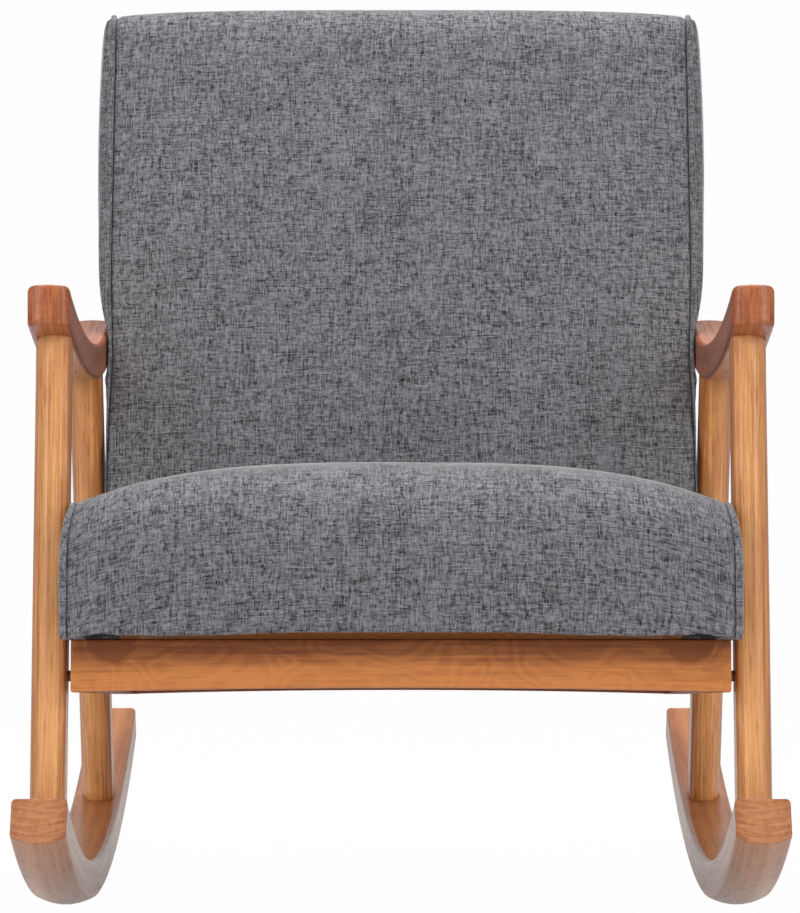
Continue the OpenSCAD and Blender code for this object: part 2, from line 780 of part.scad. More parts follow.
// Outline of the back seen from the front, in (X, along the slope)
module back_outline(inset) {
    low = -back_below + inset;
    high = back_above - inset;
    narrow = back_half_w - inset;
    wide = back_half_w + back_side_bulge - inset;
    top_steps = 6;
    polygon([
        [-narrow, low],
        [narrow, low],
        [narrow, back_step_low + inset],
        [wide, back_step_high + inset],
        [wide, high - back_top_rise - back_corner_h],
        for (k = [-top_steps : top_steps]) let (t = k / top_steps)
            [-t * (wide - back_corner_w), high - back_top_rise * t * t],
        [-wide, high - back_top_rise - back_corner_h],
        [-wide, back_step_high + inset],
        [-narrow, back_step_low + inset]
    ]);
}

// Outline of the back seen from the side, in (depth, along the slope)
module back_profile(inset) {
    front = back_front_w - back_crown + inset;
    rear = back_rear_w - inset;
    low = -back_below + inset;
    high = back_above - inset;
    r = back_top_r - inset;
    difference() {
        translate([front, low]) square([rear - front, high - low]);
        translate([front, high]) corner_waste_top(r);
    }
}

// Solid of the back cushion, shrunk by an inset, or grown by a negative one
module back_solid(inset) {
    in_back() intersection() {
        translate([0, 300, 0]) rotate([90, 0, 0]) linear_extrude(600) back_outline(inset);
        along_x(-400, 400) back_profile(inset);
        translate([0, back_front_w - back_crown + inset + back_crown_r, -400])
            cylinder(h = 1200, r = back_crown_r, $fn = 720);
    }
}

// A block inside the back, from x0 to x1, w0 to w1 and v0 to v1
module back_box(x0, x1, w0, w1, v0, v1) {
    translate([x0, w0, v0]) cube([x1 - x0, w1 - w0, v1 - v0]);
}

module stile() {
    in_back() difference() {
        back_box(stile_out_x - stile_w, stile_out_x, -half_t, half_t, back_frame_low, back_frame_high);
        one_side_back_dowels(fit);
        for (v = [0, back_bolt_pitch]) {
            translate([0, 0, v]) {
                rod_x(stile_out_x - insert_len - fit, stile_out_x + 1, insert_d + 2 * fit);
                rod_x(back_bolt_tip_x - 2, stile_out_x, bolt_hole_d);
            }
        }
    }
}

module back_stile_left() { color(wood_raw) stile(); }
module back_stile_right() { color(wood_raw) right_side() stile(); }

module back_cross_rail(v) {
    half = stile_out_x - stile_w - rail_gap;
    color(wood_raw) in_back() difference() {
        back_box(-half, half, -half_t, half_t, v, v + back_rail_h);
        both_sides() one_side_back_dowels(fit);
    }
}

module back_bottom_rail() { back_cross_rail(back_rail_heights[0]); }
module back_middle_rail() { back_cross_rail(back_rail_heights[1]); }
module back_top_rail() { back_cross_rail(back_rail_heights[2]); }

module one_side_back_dowels(grow) {
    for (v = back_rail_heights, k = [0.26, 0.74]) {
        translate([stile_out_x - stile_w, 0, v + k * back_rail_h]) rotate([0, 90, 0])
            dowel(-rail_dowel_len * dowel_share, rail_dowel_len, grow);
    }
}

module back_dowels() { color(wood_raw) in_back() both_sides() one_side_back_dowels(0); }

// Elastic straps stapled across the front of the back frame
module back_webbing() {
    first = back_rail_heights[0] + back_rail_h + webbing_rail_gap;
    last = back_rail_heights[2] - webbing_w - webbing_rail_gap;
    half = stile_out_x - webbing_in;
    color(cambric) in_back() for (k = [0 : webbing_count - 1]) {
        v = first + (last - first) * k / (webbing_count - 1);
        back_box(-half, half, -half_t - webbing_t, -half_t, v, v + webbing_w);
    }
}

// Foam in front of the frame, and round its sides and top
module back_foam() {
    inset = cover_t + soft_gap;
    room = half_t + webbing_t + soft_gap;
    color(foam_tone) difference() {
        back_solid(inset);
        in_back() back_box(
            -stile_out_x - soft_gap, stile_out_x + soft_gap, -room, 300,
            -400, back_frame_high + soft_gap
        );
        in_back() back_box(-400, 400, half_t, 300, -400, 900);
    }
}

// Cover over the front, sides, top and bottom; it is open behind
module back_cover() {
    color(cloth) difference() {
        back_solid(0);
        back_solid(cover_t);
        in_back() back_box(
            -back_half_w + cover_t, back_half_w - cover_t, half_t, 300,
            -back_below + cover_t, back_above - cover_t
        );
        in_back() both_sides() for (v = [0, back_bolt_pitch]) {
            translate([0, 0, v]) rod_x(stile_out_x - 1, arm_out_x, spacer_d + 2 * soft_gap);
        }
    }
}

module back_rear_pad() {
    half = back_half_w - cover_t - soft_gap;
    color(foam_tone) in_back() back_box(
        -half, half, half_t + soft_gap, back_rear_w - cover_t - soft_gap,
        -back_below + cover_t + soft_gap, back_above - cover_t - soft_gap
    );
}

// Fabric panel that closes the back from behind
module back_rear_cover() {
    half = back_half_w - cover_t - soft_gap;
    color(cloth) in_back() back_box(
        -half, half, back_rear_w - cover_t, back_rear_w,
        -back_below + cover_t + soft_gap, back_above - cover_t - soft_gap
    );
}

// ---------- back fasteners ----------

// Stepped bore for a back bolt: a clearance hole, and a recess for head and washer
module back_bolt_bore(x0, seat, x1) {
    rod_x(x0, x1, bolt_hole_d);
    rod_x(seat, x1, washer_d + 1);
}

// The upper bolts pass through the armrests and the lower ones through the rear legs
module at_back_bolts(upper) {
    in_back() translate([0, 0, upper ? back_bolt_pitch : 0]) both_sides() children();
}

// Bolt with its head outside and its tip towards the middle of the chair
module inward_bolt(seat) {
    mirror([1, 0, 0]) socket_bolt_x(-seat - washer_t, -back_bolt_tip_x);
}

module back_bolts() {
    color(steel) {
        at_back_bolts(false) inward_bolt(leg_seat_x);
        at_back_bolts(true) inward_bolt(arm_seat_x);
    }
}

module back_bolt_washers() {
    color(steel) {
        at_back_bolts(false) washer_x(leg_seat_x, leg_seat_x + washer_t);
        at_back_bolts(true) washer_x(arm_seat_x, arm_seat_x + washer_t);
    }
}

module back_spacers() {
    color(bronze) {
        at_back_bolts(false) tube_x(stile_out_x, leg_in_x, spacer_d, bolt_hole_d);
        at_back_bolts(true) tube_x(stile_out_x, arm_in_x, spacer_d, bolt_hole_d);
    }
}

module back_inserts() {
    color(bronze) for (upper = [false, true]) {
        at_back_bolts(upper) tube_x(stile_out_x - insert_len, stile_out_x - fit, insert_d, bolt_d + 2 * fit);
    }
}

rocker_left();
rocker_right();
front_leg_left();
front_leg_right();
rear_leg_left();
rear_leg_right();
armrest_left();
armrest_right();
rocker_dowels();
arm_dowels();
front_rail();
rear_rail();
middle_cross_rail();
side_rail_left();
side_rail_right();
rail_dowels();
corner_blocks();
corner_block_screws();
seat_board();
seat_board_screws();
seat_foam();
seat_cover();
seat_dust_cover();
seat_bolts();
seat_bolt_washers();
seat_spacers();
seat_inserts();
back_stile_left();
back_stile_right();
back_top_rail();
back_middle_rail();
back_bottom_rail();
back_dowels();
back_webbing();
back_foam();
back_cover();
back_rear_pad();
back_rear_cover();
back_bolts();
back_bolt_washers();
back_spacers();
back_inserts();
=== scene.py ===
"""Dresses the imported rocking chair: lacquered wooden side frames, a linen seat and a linen back."""

import math

import bpy
import numpy as np
from bpy.props import FloatProperty, FloatVectorProperty, IntProperty, PointerProperty
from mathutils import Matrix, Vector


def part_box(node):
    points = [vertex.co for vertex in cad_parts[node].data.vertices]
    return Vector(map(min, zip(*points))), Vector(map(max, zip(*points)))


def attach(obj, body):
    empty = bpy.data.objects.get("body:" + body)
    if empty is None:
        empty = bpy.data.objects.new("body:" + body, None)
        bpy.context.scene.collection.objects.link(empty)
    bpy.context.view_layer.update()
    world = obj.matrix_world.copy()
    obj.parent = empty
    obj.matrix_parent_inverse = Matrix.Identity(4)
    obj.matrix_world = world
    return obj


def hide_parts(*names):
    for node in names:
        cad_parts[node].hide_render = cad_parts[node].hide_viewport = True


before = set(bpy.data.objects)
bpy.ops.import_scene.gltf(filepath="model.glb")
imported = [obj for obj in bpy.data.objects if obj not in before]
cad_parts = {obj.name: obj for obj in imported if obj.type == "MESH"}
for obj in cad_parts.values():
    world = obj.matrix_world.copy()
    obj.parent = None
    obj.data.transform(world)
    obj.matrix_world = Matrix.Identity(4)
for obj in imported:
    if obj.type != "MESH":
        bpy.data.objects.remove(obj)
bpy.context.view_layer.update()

bl_info = {
    "name": "Rocking Chair",
    "version": (1, 0, 0),
    "blender": (4, 5, 0),
    "location": "View3D > Sidebar > Rocking Chair",
    "description": "Builds the wood, the upholstery and the studio of a rocking chair",
    "category": "Object",
}

SIDES = {"left": 1.0, "right": -1.0}


# ---------- sizes ----------

def length(description, default):
    """A length in metres, shown as one in the sidebar."""
    return FloatProperty(description=description, default=default, unit="LENGTH", precision=4)


def angle(description, degrees):
    """An angle, kept in radians and shown in degrees."""
    return FloatProperty(description=description, default=math.radians(degrees), unit="ROTATION")


def ratio(description, default):
    """A plain number."""
    return FloatProperty(description=description, default=default)


def whole(description, default):
    """A whole number."""
    return IntProperty(description=description, default=default)


def colour(description, default):
    """A linear colour without alpha."""
    return FloatVectorProperty(description=description, default=default, subtype="COLOR", size=3,
                               min=0.0, max=1.0)


class FrameSizes(bpy.types.PropertyGroup):
    """Sizes of the two wooden side frames and of the seat's rails."""

    spacing: length("Between the side frames' middle planes", 0.641)
    rocker_front_len: length("Rocker ahead of its lowest point", 0.391)
    rocker_rear_len: length("Rocker behind its lowest point", 0.508)
    rocker_front_r: length("Underside's radius ahead of that point", 0.837)
    rocker_rear_r: length("Underside's radius behind that point", 1.215)
    rocker_w: length("Width of a rocker", 0.050)
    rocker_offset: length("Rocker's outward shift from its legs", 0.001)
    rocker_side_h: length("Height of a rocker's flat sides", 0.036)
    rocker_belly: length("Depth of the belly under the sides", 0.007)
    rocker_edge_r: length("Rounding of its upper edges", 0.0045)
    rocker_low_r: length("Rounding between sides and belly", 0.0015)
    leg_w: length("Width of a leg across the chair", 0.033)
    leg_d: length("Depth of a leg along the chair", 0.036)
    leg_outer_r: length("Rounding of its outer edges", 0.015)
    leg_inner_r: length("Rounding of its inner edges", 0.0035)
    leg_bulge: length("Rise of its front and back faces in their middle", 0.0035)
    front_leg_y: length("Front leg's axis behind the rockers' tips, at the floor", 0.072)
    front_lean: angle("Backward lean of the front legs", 8.4)
    rear_leg_y: length("Rear leg's axis behind the rockers' tips, at the floor", 0.686)
    rear_lean: angle("Forward lean of the rear legs", 19.5)
    arm_w: length("Width of an armrest", 0.039)
    arm_t: length("Thickness of an armrest", 0.035)
    arm_low_z: length("Height of its top at the lowest point", 0.5477)
    arm_low_y: length("That point behind the rockers' front tips", 0.425)
    arm_front_r: length("Radius of the top ahead of that point", 1.120)
    arm_rear_r: length("Radius of the top behind that point", 0.620)
    arm_nose_r: length("Rounding of the ends seen from above", 0.032)
    arm_top_r: length("Rounding of the upper long edges", 0.005)
    arm_edge_r: length("Rounding of the lower long edges and the ends", 0.003)
    arm_offset: length("Outward shift of the armrests from the legs", 0.001)
    end_ease: length("Rounding where an end face meets the sides", 0.0012)
    rail_h: length("Height of the seat rails", 0.048)
    rail_t: length("Thickness of the seat rails", 0.022)
    rail_arch: length("Rise of the arch under the front and rear rails", 0.004)
    rail_ease: length("Rounding of the rails' edges", 0.0016)


class CushionSizes(bpy.types.PropertyGroup):
    """Sizes of the seat cushion and of the back, in their own tilted frames."""

    seat_bolt_z: length("Front seat bolts above the floor", 0.238)
    seat_slope: angle("Backward slope of the seat", 4.3)
    seat_low: length("Cushion's underside above the seat bolts", 0.033)
    seat_edge_h: length("Height of the cushion at its side edges", 0.1245)
    seat_crown: length("Extra height of the cushion in its middle", 0.0325)
    crown_power: ratio("Shape of the crown: 2 gives a parabola, more gives a flatter middle", 4.0)
    seat_nose: length("Nose ahead of the front seat bolts", 0.075)
    seat_nose_r: length("Rounding of the upper front edge", 0.057)
    seat_half: length("Half width of the main panel at the nose", 0.3003)
    seat_draw: length("How far the seams draw in over the top", 0.0052)
    seat_swell: length("Swell of the seat's side panels", 0.0024)
    back_bolt_z: length("Lower back bolts above the floor", 0.382)
    back_bolt_in: length("Upper back bolts ahead of the armrests' ends", 0.016)
    back_below: length("Back below the lower bolts", 0.136)
    back_above: length("Back above the lower bolts", 0.528)
    back_front: length("Front face at the sides, ahead of the bolts", 0.055)
    back_rear: length("Rear face behind the bolts", 0.025)
    back_crown: length("Forward swell of the front face in its middle", 0.011)
    back_top_r: length("Rounding of the back's upper front edge", 0.026)
    back_top_rise: length("Rise of the upper edge in its middle", 0.0037)
    back_half: length("Half width of the main panel", 0.2998)
    back_swell: length("Swell of the back's side panels", 0.0105)
    back_low_half: length("Half width of the sides below the armrests", 0.3015)
    welt_r: length("Radius of the welts", 0.0029)
    groove: length("Depth of the groove beside a welt", 0.0024)
    neighbour_gap: length("Gap between the cloth and the wood beside it", 0.0007)
    spacing: length("Distance between the mesh's points", 0.0085)
    seat_points: whole("Points round the seat's side outline", 150)
    back_points: whole("Points round the back's side outline", 176)
    pressure: ratio("Pressure of the filling in the simulation", 4.0)
    seat_cap: length("Furthest that it moves a point of the seat", 0.006)
    back_cap: length("Furthest that it moves a point of the back", 0.006)
    seat_room: length("How much lower the seat's middle starts before it", 0.0080)


class StudioSizes(bpy.types.PropertyGroup):
    """Camera and lamps."""

    camera_distance: length("Camera ahead of the rockers' front tips", 3.350)
    camera_height: length("Level camera above the floor", 0.4715)
    lens: ratio("Focal length in millimetres on a 36 mm sensor", 149.44)
    horizon_shift: ratio("Shift that puts the horizon in place", -0.0400)
    side_shift: ratio("Shift that puts the chair's middle in place", -0.0011)
    top_power: ratio("Power of the soft lamp overhead, in watts", 96.0)
    side_power: ratio("Power of each soft lamp at the sides, in watts", 24.0)
    front_power: ratio("Power of each soft lamp ahead of the chair, in watts", 20.0)
    fill: ratio("Strength of the even light from all round", 0.40)


class Colours(bpy.types.PropertyGroup):
    """Colours of the wood and of the cloth, in linear values."""

    honey: colour("Lacquered wood of the front legs", (0.860, 0.440, 0.176))
    honey_dark: colour("Dark grain of the front legs", (0.400, 0.138, 0.038))
    maple: colour("Lacquered wood of the rear legs", (0.900, 0.440, 0.160))
    maple_dark: colour("Dark grain of the rear legs", (0.400, 0.134, 0.036))
    amber: colour("Lacquered wood of the rockers", (0.480, 0.196, 0.078))
    amber_dark: colour("Dark grain of the rockers", (0.260, 0.078, 0.022))
    russet: colour("Lacquered wood of the armrests", (0.440, 0.138, 0.050))
    russet_dark: colour("Dark grain of the armrests", (0.250, 0.060, 0.018))
    orange: colour("Lacquered wood of the front rail", (0.560, 0.200, 0.054))
    orange_dark: colour("Dark grain of the front rail", (0.230, 0.062, 0.014))
    raw: colour("Plain wood out of sight", (0.600, 0.420, 0.230))
    raw_dark: colour("Grain of the plain wood", (0.420, 0.260, 0.120))
    linen_light: colour("Light threads of the cloth", (0.258, 0.251, 0.269))
    linen_dark: colour("Dark threads of the cloth", (0.012, 0.0115, 0.0135))
    lining: colour("Black lining under the seat", (0.018, 0.018, 0.022))


def sizes():
    return bpy.context.scene.chair_frame


def cushions():
    return bpy.context.scene.chair_cushions


def tones():
    return bpy.context.scene.chair_colours


def tips_y():
    """The plane of the rockers' front tips, worked out from the rocker's own box."""
    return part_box("rocker_left")[0][1]


# ---------- surfaces ----------

def mesh_piece(name, points, faces, grain=None):
    """A shaded object at the origin from an array of points and a list of face arrays.

    grain is a vector per point: across, along and through the board, in metres.
    """
    mesh = bpy.data.meshes.new(name)
    mesh.from_pydata(points.tolist(), [], faces)
    mesh.validate()
    mesh.polygons.foreach_set("use_smooth", np.ones(len(mesh.polygons), dtype=bool))
    if grain is not None:
        layer = mesh.attributes.new("grain", "FLOAT_VECTOR", "POINT")
        layer.data.foreach_set("vector", np.asarray(grain, dtype=np.float32).ravel())
    mesh.update()
    piece = bpy.data.objects.new(name, mesh)
    bpy.context.scene.collection.objects.link(piece)
    return piece


def wound(points, parts):
    """One list of the faces, turned to face outwards, and 1 or -1 for whether their order is kept.

    The sign is that of the volume: the sum of the tetrahedra between the origin and each face's triangles.
    """
    volume = 0.0
    for faces in parts:
        a = points[faces[:, 0]]
        for k in range(1, faces.shape[1] - 1):
            volume += np.einsum("ij,ij->", a, np.cross(points[faces[:, k]], points[faces[:, k + 1]]))
    order = -1 if volume < 0 else 1
    return [face[::order] for part in parts for face in part.tolist()], order


def tube_faces(rows, cols):
    """Quads between neighbouring rings of a closed tube, and the fans to the poles at its two ends.

    The poles are the two points after the rings'.
    """
    grid = np.arange(rows * cols).reshape(rows, cols)
    beside = np.roll(grid, -1, axis=1)
    quads = np.stack([grid[:-1], beside[:-1], beside[1:], grid[1:]], axis=-1).reshape(-1, 4)
    low = np.stack([beside[0], grid[0], np.full(cols, rows * cols)], axis=-1)
    high = np.stack([grid[-1], beside[-1], np.full(cols, rows * cols + 1)], axis=-1)
    return quads, low, high


def rounded_outline(corners, radii, steps, spans):
    """Closed outline of a polygon with each corner replaced by an arc of its own radius.

    An arc has steps points. Between two arcs the straight side gets spans points, crowded towards the arcs.
    """
    corners = np.asarray(corners, dtype=float)
    last = len(corners) - 1
    arcs = []
    for k, here in enumerate(corners):
        before, after = corners[k - 1], corners[k + 1 if k < last else 0]
        a = (before - here) / np.linalg.norm(before - here)
        b = (after - here) / np.linalg.norm(after - here)
        half = math.acos(float(np.clip(a @ b, -1, 1))) / 2
        middle = here + (a + b) / np.linalg.norm(a + b) * radii[k] / math.sin(half)
        start = here + a * radii[k] / math.tan(half) - middle
        turn = (math.pi - 2 * half) * np.sign(a[0] * b[1] - a[1] * b[0]) * -1
        t = np.linspace(0, turn, steps)[:, None]
        arcs.append(middle + np.cos(t) * start + np.sin(t) * np.array([-start[1], start[0]]))
    blend = (1 - np.cos(np.linspace(0, math.pi, spans + 2)[1:-1])) / 2
    pieces = []
    for arc, after in zip(arcs, arcs[1:] + arcs[:1]):
        pieces += [arc, arc[-1] + (after[0] - arc[-1]) * blend[:, None]]
    return np.concatenate(pieces)


def rounded_bar_outline(half_w, half_h, radii, steps=7, spans=8):
    """Outline of a rectangle about (0, 0), with the radii of its inner and outer corners below, then above.

    The order is that of the corners: inner and outer lower, outer and inner upper.
    """
    corners = [[-half_w, -half_h], [half_w, -half_h], [half_w, half_h], [-half_w, half_h]]
    return rounded_outline(corners, radii, steps, spans)


def square_end(along):
    """An end for bar: the same place along it for every point of the outline."""
    return lambda across, up: np.full_like(across, along)


POLE_RING = 0.12    # size of an end face's smallest ring, next to the pole
EASE_STEPS = 6      # points on the quarter circle of an eased end


def bar(name, outline, place, start, end, ease, rows=64, cap_rings=4):
    """A solid bar: an outline carried from start to end, with eased end edges and closed end faces.

    outline holds (across, up) pairs about the bar's middle line. start and end give the
    place along the bar for any such pair, so an end can be cut along a curve. Within the
    last stretch, of length ease, the outline shrinks along a quarter circle; the end face
    is filled by rings of the shrinking outline down to one pole. place turns (across, up,
    along) into a point, and (across, along, up) is kept as the grain vector.
    """
    reach = np.abs(outline).max(axis=0).min()
    quarter = np.linspace(0, math.pi / 2, EASE_STEPS)
    cap_scale = np.linspace(POLE_RING, 1, cap_rings, endpoint=False) * (1 - ease / reach)
    ease_scale = 1 - ease * (1 - np.sin(quarter)) / reach
    ease_back = ease * (1 - np.cos(quarter))
    scale = np.concatenate([cap_scale, ease_scale, np.ones(rows), ease_scale[::-1], cap_scale[::-1]])
    ring = outline[None] * scale[:, None, None]
    low, high = start(ring[..., 0], ring[..., 1]), end(ring[..., 0], ring[..., 1])
    along = np.empty(ring.shape[:2])
    n, e = len(cap_scale), len(ease_scale)
    along[:n] = low[:n]
    along[n:n + e] = low[n:n + e] + ease_back[:, None]
    along[-n:] = high[-n:]
    along[-n - e:-n] = high[-n - e:-n] - ease_back[::-1][:, None]
    share = (np.arange(rows) + 0.5)[:, None] / rows
    body = slice(n + e, n + e + rows)
    along[body] = low[body] + ease + (high[body] - low[body] - 2 * ease) * share
    pole = np.zeros((1, 1))
    poles = np.array([[0, 0, start(pole, pole)[0, 0]], [0, 0, end(pole, pole)[0, 0]]])
    across, up, run = (np.append(part.ravel(), poles[:, k])
                       for k, part in enumerate((ring[..., 0], ring[..., 1], along)))
    points = place(across, up, run)
    faces, _ = wound(points, tube_faces(len(scale), len(outline)))
    return mesh_piece(name, points, faces, grain=np.stack([across, run, up], axis=-1))


# ---------- materials ----------

SOCKETS = {1: "NodeSocketFloat", 3: "NodeSocketVector", 4: "NodeSocketColor"}


def new_group(name, inputs, outputs):
    """An empty shader node group, from its inputs' defaults and from its outputs' numbers of values.

    One value makes a plain number, three a vector and four a colour.
    """
    group = bpy.data.node_groups.new(name, "ShaderNodeTree")
    for label, default in inputs.items():
        kind = SOCKETS[np.size(default)]
        group.interface.new_socket(name=label, in_out="INPUT", socket_type=kind).default_value = default
    for label, size in outputs.items():
        group.interface.new_socket(name=label, in_out="OUTPUT", socket_type=SOCKETS[size])
    return Wires(group), group.nodes.new("NodeGroupInput").outputs, group.nodes.new("NodeGroupOutput")


class Wires:
    """Short ways to add and join the nodes of one tree."""

    def __init__(self, tree):
        self.tree = tree

    def feed(self, node, values):
        for key, value in values.items():
            socket = node.inputs[key]
            if isinstance(value, bpy.types.NodeSocket):
                self.tree.links.new(value, socket)
            else:
                socket.default_value = value
        return node

    def node(self, kind, settings=None, **values):
        made = self.tree.nodes.new("ShaderNode" + kind)
        for key, value in (settings or {}).items():
            setattr(made, key, value)
        return self.feed(made, {key.replace("_", " "): value for key, value in values.items()})

    def maths(self, operation, *values):
        return self.feed(self.node("Math", {"operation": operation}), dict(enumerate(values))).outputs[0]

    def times(self, a, b):
        return self.maths("MULTIPLY", a, b)

    def times_plus(self, a, b, c):
        return self.maths("MULTIPLY_ADD", a, b, c)

    def minus(self, a, b):
        return self.maths("SUBTRACT", a, b)

    def vector(self, operation, *values):
        made = self.feed(self.node("VectorMath", {"operation": operation}), dict(enumerate(values)))
        return made.outputs["Value" if operation == "DISTANCE" else 0]

    def join(self, **values):
        return self.node("CombineXYZ", **values).outputs[0]

    def split(self, vector):
        return self.node("SeparateXYZ", Vector=vector).outputs

    def stretch(self, vector, scale, shift=(0, 0, 0)):
        return self.node("Mapping", Vector=vector, Scale=scale, Location=shift).outputs[0]

    def noise(self, vector, scale, detail=2.0, roughness=0.5, distortion=0.0):
        made = self.node("TexNoise", Vector=vector, Scale=scale, Detail=detail, Roughness=roughness,
                         Distortion=distortion)
        return made.outputs["Fac"]

    def range(self, value, low, high, to_low=0.0, to_high=1.0, smooth=True):
        made = self.node("MapRange", {"interpolation_type": "SMOOTHSTEP" if smooth else "LINEAR"})
        self.feed(made, {"Value": value, "From Min": low, "From Max": high,
                         "To Min": to_low, "To Max": to_high})
        return made.outputs[0]

    def mix(self, factor, a, b, blend="MIX"):
        made = self.node("Mix", {"data_type": "RGBA", "blend_type": blend})
        return self.feed(made, {0: factor, 6: a, 7: b}).outputs[2]

    def attribute(self, name):
        return self.node("Attribute", {"attribute_name": name}).outputs["Vector"]

    def cloth_place(self):
        return self.node("UVMap", {"uv_map": "cloth"}).outputs[0]

    def room_place(self):
        return self.node("TexCoord").outputs["Object"]

    def group(self, name, **values):
        return self.node("Group", {"node_tree": bpy.data.node_groups[name]}, **values).outputs

    def bump(self, height, strength, distance):
        return self.node("Bump", Height=height, Strength=strength, Distance=distance).outputs[0]


# Each part of the grain: repeats per metre across, along and through the wood, and their shift; the noise's
# detail, roughness and distortion; and the part of the noise's range that is spread over 0 to 1.
GRAIN = {
    "streaks": ((210, 3.2, 210), (0, 0, 0), (2.5, 0.6, 0.2), (0.34, 0.68)),
    "fibres": ((640, 12, 640), (0, 0, 0), (2.0, 0.6), (0.36, 0.64)),
    "pores": ((820, 46, 820), (3, 1, 2), (1.5, 0.45), (0.58, 0.68)),
    "clouds": ((26, 7, 26), (0, 0, 0), (2.0, 0.5), (0.3, 0.7)),
}
# The fourth tone below is painted shade at a board's rounded edges.
STREAK_TONE, FIBRE_TONE, CLOUD_TONE, EDGE_SHADE_TONE, KNOT_AND_SHADE_TONE = 0.30, 0.26, 0.26, 0.42, 0.62
BASE_TONE = -0.035              # tone of plain wood
FIGURE_ACROSS = 17.0            # repeats of the figure's slow noise per metre, across and through the wood
CONTOURS = 70.0                 # radians of the figure's contour lines over the slow noise's whole range
EDGE_SHADE_SPAN = (0.35, 1.05)              # where painted shade deepens the tone towards a board's edges, in half widths
PAINTED_SHADE_HEIGHTS = (-0.018, 0.020)    # heights over which painted light below turns to painted shadow towards the upper edge
KNOT_RINGS = 1500.0             # radians of a knot's growth rings, per metre
KNOT_BEND = 0.012               # how far the slow noise bends a knot's outline, in metres


def wood_group():
    """Grain of a close-pored wood: streaks, fibres, growth layers, short dark pores, a slow figure and knots.

    The place is a vector (across, along, through) in metres. Streaks, fibres and pores are
    noises stretched along the grain. Growth layers are stretched through the wood as well, so
    they stand as fine lines on an end face. The figure is the contour lines of a slow, bent noise.
    On an end face the stretch points at the eye, so it shows short specks between soft rings.
    The tone is painted darker towards the edges of a board, whose half width is Edge: painted shade
    of its rounded edges. The input for the upper edge paints shadow towards a board's upper edge
    and light towards its lower edge.
    A pair of knots lies at a place along and through the board, one each side of its middle:
    a dark disc, a real knot deepened by painted shade, with fine growth rings about it.
    """
    w, inp, out = new_group(
        "Wood Grain",
        {"Place": (0, 0, 0), "Light": (0.5, 0.3, 0.1, 1), "Dark": (0.3, 0.1, 0.05, 1), "Contrast": 1.0,
         "Figure": 0.15, "Curl": 2.6, "Pore Depth": 0.5, "Layers": 0.13, "Layer Stretch": (460, 2.4, 40),
         "Edge": 1000.0, "Upper Tone": 0.0, "Knot": (0, 0, 0), "Knot Size": 0.0001, "Shift": (0, 0, 0)},
        {"Color": 4, "Height": 1, "Pores": 1})
    place = w.vector("ADD", inp["Place"], inp["Shift"])
    bend = w.join(X=FIGURE_ACROSS, Y=inp["Curl"], Z=FIGURE_ACROSS)
    slow = w.noise(w.vector("MULTIPLY", place, bend), 1.0, 1.5, 0.5, 0.5)
    figure = w.range(w.maths("SINE", w.times(slow, CONTOURS)), -1.0, 1.0)
    streaks, fibres, pores, clouds = (w.range(w.noise(w.stretch(place, scale, shift), 1.0, *noise), *span)
                                      for scale, shift, noise, span in GRAIN.values())
    layers = w.range(w.noise(w.vector("MULTIPLY", place, inp["Layer Stretch"]), 1.0, 1.0, 0.5), 0.36, 0.64)
    sideways = w.split(w.vector("ABSOLUTE", inp["Place"]))
    through = w.split(inp["Place"])[2]
    # Painted shade towards a board's rounded edges.
    edge_shade = w.range(w.maths("DIVIDE", sideways[0], inp["Edge"]), *EDGE_SHADE_SPAN)
    # Painted light towards a board's lower edge and painted shadow towards its upper edge.
    upper = w.range(through, *PAINTED_SHADE_HEIGHTS, -0.45, 0.55)
    tone = w.times_plus(fibres, FIBRE_TONE, BASE_TONE)
    for part, weight in ((w.minus(layers, 0.5), inp["Layers"]), (streaks, STREAK_TONE), (clouds, CLOUD_TONE),
                         (figure, inp["Figure"]), (edge_shade, EDGE_SHADE_TONE), (upper, inp["Upper Tone"])):
        tone = w.times_plus(part, weight, tone)
    # Knots: the dark disc is a real knot, made deeper so that it is painted shade as well.
    gap = w.vector("DISTANCE", w.join(Y=sideways[1], Z=through), inp["Knot"])
    gap = w.times_plus(w.minus(slow, 0.5), KNOT_BEND, gap)
    share = w.maths("DIVIDE", gap, inp["Knot Size"])
    disc = w.range(share, 0.72, 1.12, 1.0, 0.0)
    rings = w.times(w.maths("SINE", w.times(gap, KNOT_RINGS)), w.range(share, 0.9, 2.4, 0.06, 0.0))
    tone = w.maths("ADD", w.times_plus(disc, KNOT_AND_SHADE_TONE, tone), rings)
    tone = w.times(w.times_plus(pores, inp["Pore Depth"], tone), inp["Contrast"])
    tone = w.node("Clamp", Value=tone).outputs[0]
    w.feed(out, {"Color": w.mix(tone, inp["Light"], inp["Dark"]),
                 "Height": w.minus(w.times(fibres, 0.25), pores), "Pores": pores})


WANDER = 0.0020             # how far the threads stray from straight lines, in metres
SLUBS = ((0.10, 40.0, 0.45), (0.30, 0.0, 0.55))    # slubs per thread's width, seed and weight of two kinds
WARP_SEED, WEFT_SEED = 1300.5, 8900.5
BOTH_SETS, UPPER_SET = 0.36, 0.28                   # weights of both sets' tones, and of the upper set's
TONE_SPAN = (0.12, 0.80)                            # sums of tones that are spread over 0 to 1


